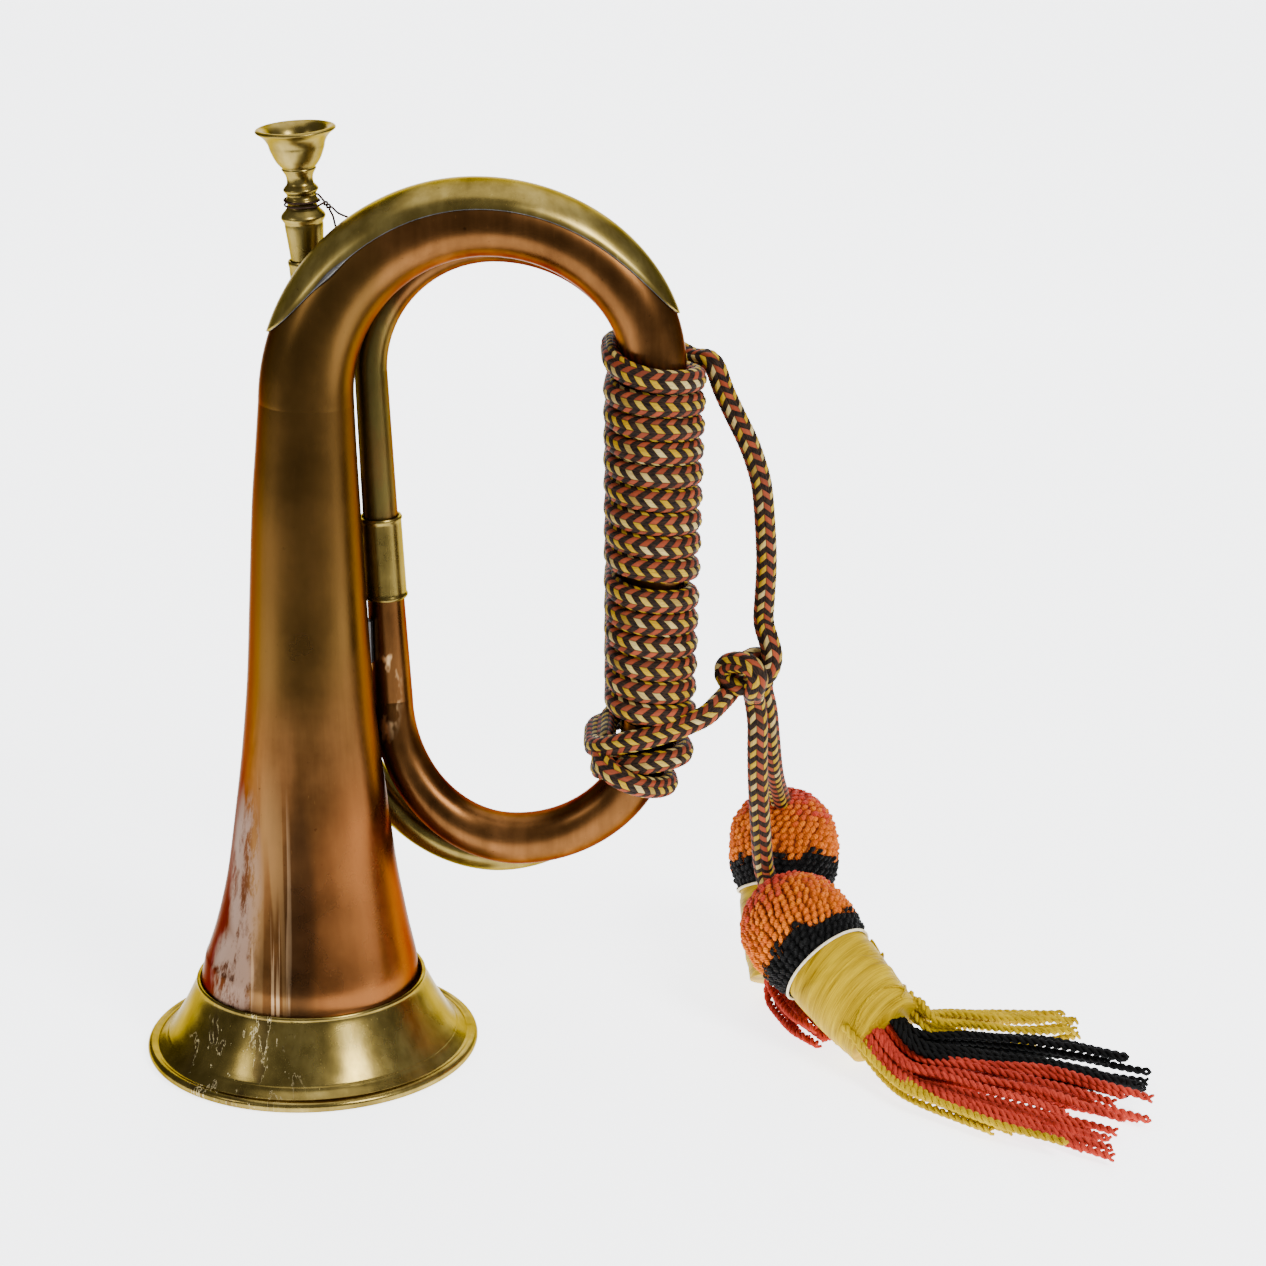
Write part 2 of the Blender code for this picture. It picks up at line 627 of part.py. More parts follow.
def make_fringes(yellow, black, red, parts):
    bundle("tassel_front_fringe_yellow",
           [((211.6, -20.6, 18.4), 3.6, 3), ((220.0, -15.0, 14.0), 5.5, 4),
            ((236.0, -6.0, 6.8), 7, 4.6), ((254.0, 0.0, 4.6), 7, 4.4),
            ((270.0, 5.0, 3.4), 6, 3.4)], yellow, parts)
    bundle("tassel_front_fringe_black",
           [((209.0, -28.6, 11.4), 4, 3.6), ((229.0, -27.0, 6.6), 6.5, 4.6),
            ((256.0, -32.0, 5.2), 8.5, 5), ((285.0, -43.0, 4.2), 8, 4.2)], black, parts)
    bundle("tassel_front_fringe_red",
           [((205.0, -37.5, 7.4), 5, 5), ((222.0, -46.5, 6.4), 9, 5.6),
            ((246.0, -58.0, 6.0), 12.5, 5.5), ((276.0, -77.0, 4.2), 9, 4.2)], red, parts)
    bundle("tassel_front_fringe_gold",
           [((196.8, -42.0, 5.6), 3.4, 4.6), ((208.0, -58.0, 4.4), 4, 4.2),
            ((230.0, -77.0, 3.6), 3.4, 3.4), ((262.0, -97.0, 2.8), 3, 2.8)], yellow, parts)
    bundle("tassel_back_fringe",
           [((169.2, 29.0, 6.6), 9, 5.6), ((172.0, 18.0, 5.0), 8.5, 4.6),
            ((176.0, 4.0, 4.6), 7, 4.2), ((181.0, -6.0, 4.0), 5, 3.6)], red, parts)


def main():
    clear_scene()
    parts = collection(COLLECTION)
    cutters = collection("cutters")
    copper = material("aged_copper", (0.50, 0.24, 0.12), 0.34, 1.0)
    brass = material("aged_brass", (0.55, 0.42, 0.17), 0.32, 1.0)
    iron = material("dark_iron_wire", (0.06, 0.05, 0.05), 0.55, 1.0)
    solder = material("dull_solder", (0.42, 0.42, 0.44), 0.45, 1.0)
    braid = material("tricolour_braid", (0.26, 0.13, 0.07), 0.85, 0.0)
    crochet = material("orange_crochet", (0.66, 0.20, 0.06), 0.90, 0.0)
    floss = material("yellow_floss", (0.85, 0.68, 0.06), 0.55, 0.0)
    black = material("black_yarn", (0.02, 0.02, 0.02), 0.90, 0.0)
    red = material("red_yarn", (0.62, 0.10, 0.06), 0.85, 0.0)

    make_bell(copper, brass, iron, parts)
    make_front_coil(copper, brass, parts)
    make_back_coil(copper, brass, parts)
    make_guard(brass, parts)
    make_solders(solder, parts, cutters)
    make_mouthpiece(brass, iron, parts)
    make_cord(braid, parts)
    for side, place in (("front", HEAD_FRONT), ("back", HEAD_BACK)):
        make_tassel(side, place, crochet, floss, parts)
    make_fringes(floss, black, red, parts)


main()
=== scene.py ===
import math

import bpy
import numpy as np
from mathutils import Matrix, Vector


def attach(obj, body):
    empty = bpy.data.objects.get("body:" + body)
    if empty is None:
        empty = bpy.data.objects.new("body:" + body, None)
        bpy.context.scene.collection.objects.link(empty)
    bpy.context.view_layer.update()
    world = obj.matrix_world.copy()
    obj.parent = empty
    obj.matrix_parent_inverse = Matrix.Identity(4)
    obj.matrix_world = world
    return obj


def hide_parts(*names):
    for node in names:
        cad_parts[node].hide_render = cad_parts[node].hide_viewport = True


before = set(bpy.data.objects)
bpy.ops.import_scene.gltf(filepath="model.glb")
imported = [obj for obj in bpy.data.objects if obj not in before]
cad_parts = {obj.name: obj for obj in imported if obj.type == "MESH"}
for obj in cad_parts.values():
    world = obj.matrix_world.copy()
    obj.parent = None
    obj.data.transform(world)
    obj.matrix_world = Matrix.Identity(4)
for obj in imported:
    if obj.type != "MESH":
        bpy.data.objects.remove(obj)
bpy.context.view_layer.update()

MM = 0.001
BELL_X = -36.0          # bell axis; lengths and places below are millimetres from it
WALL = 0.6

BELL_TOP = (4.6, 0.0, 230.0), 15.8
BOW_CROWN = (63.0, 0.0, 290.9), 12.45
BOW_END = (119.2, 0.0, 240.0), 10.4
LEG_FRONT_END = (117.8, 0.0, 120.0), 8.8
BOTTOM_CROWN = (70.5, 6.5, 73.9), 8.9
LEG_LOWER_END = (29.4, 15.2, 122.0), 7.0
FERRULE_LOW = (28.0, 14.0, 159.0), 6.2
FERRULE_HIGH = (26.9, 13.4, 187.6), 5.9
LEG_UPPER_END = (25.0, 13.0, 238.0), 5.5
BACK_CROWN = (66.0, 15.6, 279.2), 5.6
LEG_BACK_TOP = (115.2, 17.6, 234.0), 5.7
LEG_BACK_END = (114.7, 18.4, 122.0), 5.7
BACK_BOTTOM = (63.5, 21.5, 61.8), 5.7
LEADPIPE_END = (12.4, 30.0, 122.0), 5.7
RECEIVER_TOP = (4.1, 22.9, 273.0)
RECEIVER_LENGTH = 21.0
SHANK_TOP = 44.0
SHANK = 16.0
GUARD_REACH = math.radians(68)

CORD = 7.0
COLUMNS = 8             # columns of stitches round the braid
STITCH = 4.4            # length of one black and one coloured stitch
LEAN = 0.55             # how far a stitch slants across its column, in stitches
GRIP_PITCH = 7.9        # height of one turn on the legs
TURN_THICK = 6.2        # a turn pressed against the legs
STITCH_RISE = 0.42      # how far a stitch stands out of the braid
INSET = 0.22            # how far the grooves lie inside the cord's diameter
GRIP_X = 131.0          # the turns on the legs lie left of this
GRIP_Z = 92.0           # and above this

HEAD_FRONT = (170.0, 10.0, 38.0), (0.573, -0.658, -0.488)
HEAD_BACK = (167.0, 62.0, 50.0), (0.03, -0.56, -0.83)

STRAND_TOP = [(126.5, 25.2, 241.6), (132.6, 20.4, 239.8), (138.3, 14.0, 240.3),
              (142.0, 12.0, 231.3), (146.2, 11.0, 222.4), (150.3, 10.0, 214.1),
              (153.6, 10.0, 204.8), (155.5, 10.0, 195.8), (157.0, 10.0, 174.2),
              (156.6, 10.0, 160.0)]
KNOT_FRONT = [(156.2, 8.6, 151.6), (157.8, 5.0, 146.4), (159.2, 2.8, 140.8),
              (157.4, 1.0, 135.4), (153.0, 0.0, 132.4), (147.0, 0.4, 131.4),
              (143.0, 2.4, 134.0), (143.4, 2.0, 138.4), (147.6, -1.8, 140.8),
              (152.0, -5.8, 140.2), (154.0, -6.6, 136.4), (152.6, -3.2, 130.6)]
TAIL_FRONT = [(153.2, 8.0, 125.4), (154.6, 8.6, 116.0), (154.8, 10.4, 104.0),
              (155.3, 13.0, 91.0), (156.4, 17.4, 76.0), (157.6, 22.4, 61.0),
              (158.6, 25.2, 53.6), (161.0, 20.6, 46.0)]
STRAND_HITCH = [(132.0, -12.2, 121.4), (136.4, -8.8, 123.8), (140.6, -5.0, 126.6),
                (145.6, 4.6, 129.0)]
KNOT_BACK = [(148.0, 8.8, 134.0), (151.6, 8.0, 138.6), (156.0, 9.6, 138.4),
             (157.4, 13.6, 132.4)]
TAIL_BACK = [(156.4, 15.8, 126.0), (158.2, 18.0, 118.0), (159.6, 23.0, 105.0),
             (161.0, 31.0, 92.0), (162.6, 41.0, 82.0), (164.4, 50.6, 73.6),
             (166.4, 60.0, 64.0)]


# --- Camera, light and floor ---------------------------------------------------------

def link(item):
    bpy.context.scene.collection.objects.link(item)


def make_camera():
    data = bpy.data.cameras.new("camera")
    data.lens = 88.15
    data.sensor_width = 36.0
    camera = bpy.data.objects.new("camera", data)
    camera.location = (0.076, -0.9933, 0.4671)
    camera.rotation_euler = (math.radians(90 - 17.69), 0.0, 0.0)
    link(camera)
    bpy.context.scene.camera = camera


def make_stage():
    world = bpy.data.worlds.new("studio")
    world.use_nodes = True
    world.node_tree.nodes["Background"].inputs["Color"].default_value = (1.0, 1.0, 1.0, 1.0)
    world.node_tree.nodes["Background"].inputs["Strength"].default_value = 0.30
    bpy.context.scene.world = world

    half_width, front, back, curve = 0.95, -0.34, 1.2, 0.7
    profile = [(front, 0.0), (back, 0.0)]
    profile += [(back + curve * math.sin(a), curve - curve * math.cos(a))
                for a in np.linspace(0.1, math.pi / 2, 12)]
    profile.append((1.9, 1.4))
    verts = [(x, y, z) for y, z in profile for x in (-half_width, half_width)]
    faces = [(2 * i, 2 * i + 1, 2 * i + 3, 2 * i + 2) for i in range(len(profile) - 1)]
    mesh = bpy.data.meshes.new("sweep")
    mesh.from_pydata(verts, [], faces)
    mesh.shade_smooth()
    sweep = bpy.data.objects.new("sweep", mesh)
    link(sweep)
    paper = bpy.data.materials.new("paper")
    paper.use_nodes = True
    shader = paper.node_tree.nodes["Principled BSDF"]
    shader.inputs["Base Color"].default_value = (0.88, 0.885, 0.895, 1.0)
    shader.inputs["Roughness"].default_value = 0.6
    shader.inputs["Specular IOR Level"].default_value = 0.15
    shader.inputs["Emission Color"].default_value = (0.96, 0.975, 1.0, 1.0)
    shader.inputs["Emission Strength"].default_value = 3.3
    mesh.materials.append(paper)

    for name, place, aim, size, power in (
            ("key", (0.85, -0.95, 1.05), (0.05, 0.0, 0.10), 0.40, 27.0),
            ("fill", (-1.05, -0.7, 0.75), (0.0, 0.0, 0.12), 0.22, 3.0),
            ("top", (0.1, 0.45, 1.5), (0.05, 0.15, 0.0), 1.3, 20.0)):
        data = bpy.data.lights.new(name, "AREA")
        data.shape = "RECTANGLE"
        data.size = size
        data.size_y = size * 1.6
        data.energy = power
        light = bpy.data.objects.new(name, data)
        light.location = place
        to = Vector(aim) - Vector(place)
        light.rotation_euler = to.to_track_quat("-Z", "Y").to_euler()
        link(light)


# --- Lines and meshes ----------------------------------------------------------------

def unit(v):
    v = np.asarray(v, float)
    return v / np.maximum(np.linalg.norm(v, axis=-1, keepdims=True), 1e-12)


def spline(points, per=20):
    """Catmull-Rom through rows of any width."""
    p = np.asarray(points, float)
    p = np.vstack([2 * p[0] - p[1], p, 2 * p[-1] - p[-2]])
    t = np.linspace(0, 1, per, endpoint=False)[:, None]
    rows = []
    for a, b, c, d in zip(p, p[1:], p[2:], p[3:]):
        rows.append(0.5 * (2 * b + (c - a) * t + (2 * a - 5 * b + 4 * c - d) * t ** 2
                           + (3 * b - a - 3 * c + d) * t ** 3))
    return np.vstack(rows + [p[-2:-1]])


def lengths(line):
    steps = np.linalg.norm(np.diff(line[:, :3], axis=0), axis=1)
    return np.concatenate([[0.0], np.cumsum(steps)])


def evenly(line, spacing):
    along = lengths(line)
    at = np.linspace(0, along[-1], max(3, round(along[-1] / spacing) + 1))
    return np.stack([np.interp(at, along, line[:, k]) for k in range(line.shape[1])], 1)


def tangents(line):
    return unit(np.gradient(line[:, :3], axis=0))


def transported(ways, first):
    """Side vectors carried along a line without twisting."""
    sides = [unit(first - ways[0] * (first @ ways[0]))]
    for way in ways[1:]:
        last = sides[-1]
        sides.append(unit(last - way * (last @ way)))
    return np.array(sides)


def add_piece(mesh, finish, nodes, body="bugle"):
    mesh.materials.append(finish)
    piece = bpy.data.objects.new(mesh.name, mesh)
    link(piece)
    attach(piece, body)
    if nodes:
        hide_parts(*nodes)
    return piece


def skin(name, grids, uvs=None, caps=True, crease=180.0):
    """A mesh of one or more grids (rows, columns, 3) of points in millimetres."""
    verts, faces, corners = [], [], []
    base = 0
    for k, grid in enumerate(grids):
        rows, cols = grid.shape[:2]
        index = base + np.arange(rows * cols).reshape(rows, cols)
        after = np.roll(index, -1, 1)
        quads = np.stack([index[:-1], after[:-1], after[1:], index[1:]], -1).reshape(-1, 4)
        faces += quads.tolist()
        if uvs is not None:
            uv = uvs[k]
            corners.append(np.stack([uv[:-1, :-1], uv[:-1, 1:], uv[1:, 1:], uv[1:, :-1]],
                                    2).reshape(-1, 2))
        if caps:
            for ring, row in ((index[0][::-1], 0), (index[-1], -1)):
                faces.append(ring.tolist())
                if uvs is not None:
                    corners.append(np.repeat(uvs[k][row][:1], cols, 0))
        verts.append(grid.reshape(-1, 3))
        base += rows * cols
    points = (np.vstack(verts) + (BELL_X, 0.0, 0.0)) * MM
    mesh = bpy.data.meshes.new(name)
    mesh.from_pydata(points.tolist(), [], faces)
    if uvs is not None:
        layer = mesh.uv_layers.new(name="stitches")
        layer.data.foreach_set("uv", np.vstack(corners).astype(np.float32).ravel())
    mesh.shade_smooth()
    if crease < 180.0:
        mesh.set_sharp_from_angle(angle=math.radians(crease))
    return mesh


def rings(line, radius, sides, sidewise=None, height=None, twist=0.0):
    """Grid of points round a line; radius may be one number, per ring or per point."""
    ways = tangents(line)
    side = transported(ways, np.array([0.0, 1.0, 0.0])) if sidewise is None else sidewise
    up = np.cross(ways, side)
    angle = np.linspace(0, 2 * math.pi, sides, endpoint=False)[None, :]
    angle = angle + np.zeros((len(line), 1)) + np.asarray(twist).reshape(-1, 1)
    radius = np.broadcast_to(np.asarray(radius, float).reshape(-1, 1)
                             if np.ndim(radius) < 2 else radius, angle.shape)
    height = radius if height is None else np.broadcast_to(height, angle.shape)
    return (line[:, None, :3] + side[:, None] * (radius * np.cos(angle))[..., None]
            + up[:, None] * (height * np.sin(angle))[..., None])


def shell(line, radius, wall=WALL, sides=64):
    """Outer and inner skins of an open tube, joined at both ends."""
    outer = rings(line, radius, sides)
    inner = rings(line, np.asarray(radius) - wall, sides)
    return np.concatenate([outer, inner[::-1], outer[:1]])


def quarter(leg_end, crown, steps, rising=True):
    (p0, r0), (p1, r1) = leg_end, crown
    t = np.linspace(0, 1, steps)
    angle = t * math.pi / 2
    rows = np.stack([p1[0] + (p0[0] - p1[0]) * np.cos(angle), p0[1] + (p1[1] - p0[1]) * t,
                     p0[2] + (p1[2] - p0[2]) * np.sin(angle), r0 + (r1 - r0) * t], 1)
    return rows if rising else rows[::-1]


def bow(left, crown, right, steps=44):
    return np.vstack([quarter(left, crown, steps),
                      quarter(right, crown, steps, rising=False)[1:]])


def leg(start, end):
    a, b = (np.array([*point, radius]) for point, radius in (start, end))
    t = np.linspace(0, 1, 12)[:, None]
    return a * (1 - t) + b * t


# --- Materials -----------------------------------------------------------------------

class Nodes:
    """A material and short ways to add shader nodes to it."""

    def __init__(self, name, metallic=0.0, roughness=0.5):
        self.material = bpy.data.materials.new(name)
        self.material.use_nodes = True
        self.tree = self.material.node_tree
        self.shader = self.tree.nodes["Principled BSDF"]
        self.shader.inputs["Metallic"].default_value = metallic
        self.shader.inputs["Roughness"].default_value = roughness

    def node(self, kind):
        return self.tree.nodes.new("ShaderNode" + kind)

    def add(self, kind, **inputs):
        node = self.node(kind)
        for key, value in inputs.items():
            self.feed(node.inputs[key.replace("_", " ")], value)
        return node

    def feed(self, socket, value):
        if hasattr(value, "is_linked"):
            self.tree.links.new(value, socket)
        else:
            socket.default_value = value

    def math(self, kind, a, b=0.0, c=0.0):
        node = self.node("Math")
        node.operation = kind
        for socket, value in zip(node.inputs, (a, b, c)):
            self.feed(socket, value)
        return node.outputs[0]

    def times(self, a, b):
        return self.math("MULTIPLY", a, b)

    def plus(self, a, b):
        return self.math("ADD", a, b)

    def place(self, scale=(1.0, 1.0, 1.0)):
        coords = self.node("TexCoord").outputs["Object"]
        node = self.node("VectorMath")
        node.operation = "MULTIPLY"
        self.feed(node.inputs[0], coords)
        node.inputs[1].default_value = scale
        return node.outputs[0]

    def stitches(self):
        node = self.node("UVMap")
        node.uv_map = "stitches"
        split = self.add("SeparateXYZ", Vector=node.outputs[0])
        return split.outputs[0], split.outputs[1]

    def vector(self, x=0.0, y=0.0, z=0.0):
        return self.add("CombineXYZ", X=x, Y=y, Z=z).outputs[0]

    def noise(self, vector, scale=1.0, detail=3.0, roughness=0.5):
        return self.add("TexNoise", Vector=vector, Scale=scale, Detail=detail,
                        Roughness=roughness).outputs[0]

    def random(self, vector):
        return self.add("TexWhiteNoise", Vector=vector).outputs[0]

    def span(self, value, low, high, out_low=0.0, out_high=1.0):
        node = self.node("MapRange")
        node.interpolation_type = "SMOOTHSTEP"
        for socket, v in zip(node.inputs, (value, low, high, out_low, out_high)):
            self.feed(socket, v)
        return node.outputs[0]

    def ramp(self, value, stops):
        node = self.node("ValToRGB")
        self.feed(node.inputs[0], value)
        band = node.color_ramp
        while len(band.elements) < len(stops):
            band.elements.new(0.5)
        for element, (at, colour) in zip(band.elements, stops):
            element.position = at
            element.color = (*colour, 1.0)
        return node.outputs[0]

    def mix(self, share, a, b):
        node = self.node("Mix")
        node.data_type = "RGBA"
        self.feed(node.inputs[0], share)
        for socket, value in ((node.inputs[6], a), (node.inputs[7], b)):
            self.feed(socket, (*value, 1.0) if isinstance(value, tuple) else value)
        return node.outputs[2]

    def stain(self, colour, mask, share, tone):
        """The colour with a tone mixed in, up to the share where the mask is 1."""
        return self.mix(self.times(mask, share), colour, tone)

    def near(self, x, y, z, spread):
        """1 at a point in millimetres, falling to 0 over the spread (x, y, z)."""
        scale = tuple(1.0 / (s * MM) for s in spread)
        node = self.node("VectorMath")
        node.operation = "SUBTRACT"
        self.feed(node.inputs[0], self.place(scale))
        centre = ((x + BELL_X) * MM, y * MM, z * MM)
        node.inputs[1].default_value = tuple(c * s for c, s in zip(centre, scale))
        size = self.node("VectorMath")
        size.operation = "LENGTH"
        self.feed(size.inputs[0], node.outputs[0])
        return self.span(size.outputs["Value"], 0.55, 1.0, 1.0, 0.0)

    def finish(self, colour, roughness=None, bump=None, strength=0.3, distance=0.0005):
        self.feed(self.shader.inputs["Base Color"], colour)
        if roughness is not None:
            self.feed(self.shader.inputs["Roughness"], roughness)
        if bump is not None:
            node = self.node("Bump")
            node.inputs["Strength"].default_value = strength
            node.inputs["Distance"].default_value = distance
            self.feed(node.inputs["Height"], bump)
            self.feed(self.shader.inputs["Normal"], node.outputs[0])
        return self.material


def worn_metal(name, dark, middle, light, rough, marks=None):
    """Old metal: cloudy patina, streaks along Z, fine scratches, dark specks, tinted edges."""
    n = Nodes(name, metallic=1.0)
    n.shader.inputs["Specular Tint"].default_value = (*(min(1.0, 0.25 + c) for c in light), 1.0)
    cloud = n.noise(n.place(), 17.0, 5.0, 0.62)
    streak = n.noise(n.place((110.0, 110.0, 7.0)), 1.0, 4.0, 0.6)
    tone = n.plus(n.times(cloud, 0.62), n.times(streak, 0.38))
    colour = n.ramp(tone, [(0.34, dark), (0.5, middle), (0.66, light)])
    fine = n.noise(n.place((1500.0, 1500.0, 60.0)), 1.0, 3.0, 0.7)
    scratch = n.span(fine, 0.67, 0.74)
    colour = n.stain(colour, scratch, 0.35, tuple(min(1.0, c * 1.5) for c in light))
    speck = n.span(n.noise(n.place(), 420.0, 3.0, 0.6), 0.68, 0.76)
    colour = n.stain(colour, speck, 0.55, tuple(c * 0.35 for c in dark))
    roughness = n.span(cloud, 0.3, 0.7, rough - 0.06, rough + 0.1)
    roughness = n.plus(roughness, n.times(scratch, 0.12))
    if marks:
        colour, roughness = marks(n, colour, roughness)
    ripple = n.noise(n.place(), 55.0, 2.0, 0.5)
    height = n.plus(n.times(ripple, 0.5), n.times(fine, 0.05))
    return n.finish(colour, roughness, height, 0.18, 0.0006)


def bell_marks(n, colour, roughness):
    """Darker high up; dusty patches low on the left; painted shade on the left side and down the
    front; a painted reflection band on the front left with thin bright streaks; painted light in
    orange at the right.
    """
    upper = n.near(-2.0, -10.0, 215.0, (60.0, 60.0, 120.0))
    colour = n.stain(colour, upper, 0.75, (0.098, 0.053, 0.013))
    # Painted light: the lit right side of the bell, a lighter orange mixed into the colour.
    painted_light_right = n.near(22.0, -26.0, 50.0, (26.0, 40.0, 70.0))
    colour = n.stain(colour, painted_light_right, 0.55, (0.23, 0.080, 0.022))
    # Painted shade: the left side of the bell, away from the key light, darkened in the colour.
    left = n.near(-30.0, -12.0, 56.0, (20.0, 44.0, 78.0))
    colour = n.stain(colour, left, 0.85, (0.046, 0.016, 0.009))
    worn = n.noise(n.place((130.0, 130.0, 38.0)), 1.0, 7.0, 0.78)
    patches = n.math("MAXIMUM", n.near(-20.0, -24.0, 70.0, (8.5, 22.0, 42.0)),
                     n.near(-25.0, -30.0, 38.0, (12.0, 24.0, 19.0)))
    patch = n.times(patches, n.span(worn, 0.41, 0.54))
    colour = n.stain(colour, patch, 0.85, (0.27, 0.165, 0.112))
    n.feed(n.shader.inputs["Metallic"], n.math("MULTIPLY_ADD", patch, -0.8, 1.0))
    roughness = n.plus(roughness, n.times(patch, 0.22))
    # Painted reflection: a lighter vertical band on the front left of the bell, with a broad stripe
    # and thin bright streaks in it.
    lines = n.noise(n.place((520.0, 40.0, 4.0)), 1.0, 2.0, 0.6)
    broad = n.noise(n.place((210.0, 20.0, 3.0)), 1.0, 1.0, 0.4)
    reflection_band = n.near(-10.0, -36.0, 60.0, (10.0, 40.0, 66.0))
    line = n.times(n.span(lines, 0.57, 0.66), reflection_band)
    reflection_stripe = n.times(n.span(broad, 0.52, 0.58), reflection_band)
    colour = n.stain(colour, reflection_stripe, 0.55, (0.27, 0.145, 0.052))
    colour = n.stain(colour, line, 0.7, (0.62, 0.38, 0.19))
    shade = n.near(0.0, -36.0, 62.0, (7.0, 30.0, 55.0))
    colour = n.stain(colour, shade, 0.55, (0.040, 0.018, 0.008))
    return colour, roughness


def leg_marks(n, colour, roughness):
    """Olive tarnish on the upper left leg and bare pale patches on the lower one."""
    olive = n.near(24.0, 8.0, 226.0, (15.0, 30.0, 62.0))
    grain = n.noise(n.place((60.0, 60.0, 30.0)), 1.0, 4.0, 0.7)
    colour = n.mix(n.times(olive, n.span(grain, 0.35, 0.6, 0.5, 0.95)), colour,
                   (0.125, 0.096, 0.026))
    bare = n.times(n.near(26.0, 10.0, 128.0, (8.0, 18.0, 26.0)), n.span(grain, 0.52, 0.6))
    colour = n.stain(colour, bare, 0.8, (0.80, 0.50, 0.24))
    return colour, roughness


def garland_marks(n, colour, roughness):
    """Runs and rims of pale corrosion down the left and the middle."""
    run = n.noise(n.place((150.0, 90.0, 26.0)), 1.0, 5.0, 0.62)
    rim = n.math("ABSOLUTE", n.math("SUBTRACT", run, 0.52))
    rim = n.span(rim, 0.003, 0.012, 1.0, 0.0)
    where = n.near(-24.0, -44.0, 14.0, (32.0, 32.0, 22.0))
    broken = n.span(n.noise(n.place(), 60.0, 4.0, 0.7), 0.43, 0.52)
    stain = n.times(n.span(run, 0.50, 0.56), where)
    colour = n.stain(colour, stain, 0.55, (0.085, 0.052, 0.020))
    line = n.times(n.times(rim, where), broken)
    colour = n.stain(colour, line, 0.85, (0.72, 0.60, 0.33))
    return colour, n.plus(roughness, n.times(line, 0.2))


def braid_material():
    """Columns of slanting stitches: black between, and brick or yellow by column."""
    n = Nodes("braided_cord", roughness=0.62)
    u, v = n.stitches()
    column = n.math("FLOOR", u)
    across = n.math("FRACT", u)
    parity = n.math("FLOORED_MODULO", column, 2.0)
    lean = n.math("MULTIPLY_ADD", parity, -2.0, 1.0)
    slant = n.times(lean, n.times(n.math("SUBTRACT", across, 0.5), LEAN))
    t = n.times(n.plus(v, slant), 2.0)
    index = n.math("FLOOR", t)
    along = n.math("FRACT", t)
    dark = n.math("FLOORED_MODULO", index, 2.0)
    chance = n.random(n.vector(column, index, 3.0))
    yellow = n.ramp(chance, [(0.0, (0.44, 0.25, 0.0)), (0.55, (0.50, 0.32, 0.012)),
                             (0.8, (0.60, 0.46, 0.17)), (1.0, (0.26, 0.15, 0.006))])
    brick = n.ramp(chance, [(0.0, (0.22, 0.034, 0.012)), (0.6, (0.34, 0.062, 0.024)),
                            (1.0, (0.15, 0.028, 0.012))])
    thread = n.noise(n.vector(n.times(u, 9.0), n.times(v, 2.2)), 1.0, 2.0)
    colour = n.mix(parity, brick, yellow)
    colour = n.mix(dark, colour, (0.004, 0.003, 0.003))
    edge_a = n.times(n.times(across, n.math("SUBTRACT", 1.0, across)), 4.0)
    edge_b = n.times(n.times(along, n.math("SUBTRACT", 1.0, along)), 4.0)
    deep = n.times(n.span(edge_a, 0.0, 0.35), n.span(edge_b, 0.0, 0.3))
    # Painted shade: the grooves round each stitch darkened towards black in the colour.
    colour = n.mix(n.math("MULTIPLY_ADD", deep, -0.75, 0.75), colour, (0.008, 0.005, 0.004))
    colour = n.mix(n.span(thread, 0.35, 0.65, 0.0, 0.35), colour, (0.08, 0.04, 0.02))
    n.shader.inputs["Specular IOR Level"].default_value = 0.08
    return n.finish(colour, None, n.plus(deep, n.times(thread, 0.4)), 0.6, 0.0003)


def crochet_material():
    """Red-pink at the top, then orange, then a jagged black base; one tone a stitch."""
    n = Nodes("crochet", roughness=0.62)
    u, v = n.stitches()
    row = n.math("FLOOR", v)
    chance = n.random(n.vector(n.math("FLOOR", u), row, 1.0))
    drift = n.noise(n.place(), 70.0, 2.0)
    level = n.plus(row, n.math("MULTIPLY_ADD", chance, 5.0, -2.5))
    level = n.plus(level, n.math("MULTIPLY_ADD", drift, 8.0, -4.0))
    colour = n.mix(n.span(level, 6.0, 10.0), (0.56, 0.050, 0.028), (0.78, 0.185, 0.002))
    second = n.random(n.vector(n.math("FLOOR", u), row, 7.0))
    colour = n.stain(colour, second, 0.45, (0.42, 0.030, 0.008))
    a, b = n.math("FRACT", u), n.math("FRACT", v)
    side = n.math("ABSOLUTE", n.math("SUBTRACT", a, 0.5))
    # Painted shade: the gaps at the sides of each stitch darkened in the colour.
    colour = n.mix(n.span(side, 0.28, 0.47, 0.0, 0.9), colour, (0.05, 0.008, 0.002))
    ply = n.math("SINE", n.times(n.plus(a, n.times(b, 1.6)), 22.0))
    # Painted shade: the grooves between the plies darkened in the colour; the same wave is the
    # bump.
    colour = n.mix(n.span(ply, -1.0, -0.2, 0.4, 0.0), colour, (0.16, 0.012, 0.003))
    jag = n.plus(row, n.math("MULTIPLY_ADD", chance, 1.4, -0.7))
    jag = n.plus(jag, n.math("MULTIPLY_ADD", drift, 4.0, -2.0))
    colour = n.mix(n.span(jag, 15.3, 15.5), colour, (0.004, 0.004, 0.004))
    n.shader.inputs["Specular IOR Level"].default_value = 0.1
    return n.finish(colour, None, ply, 0.55, 0.00025)


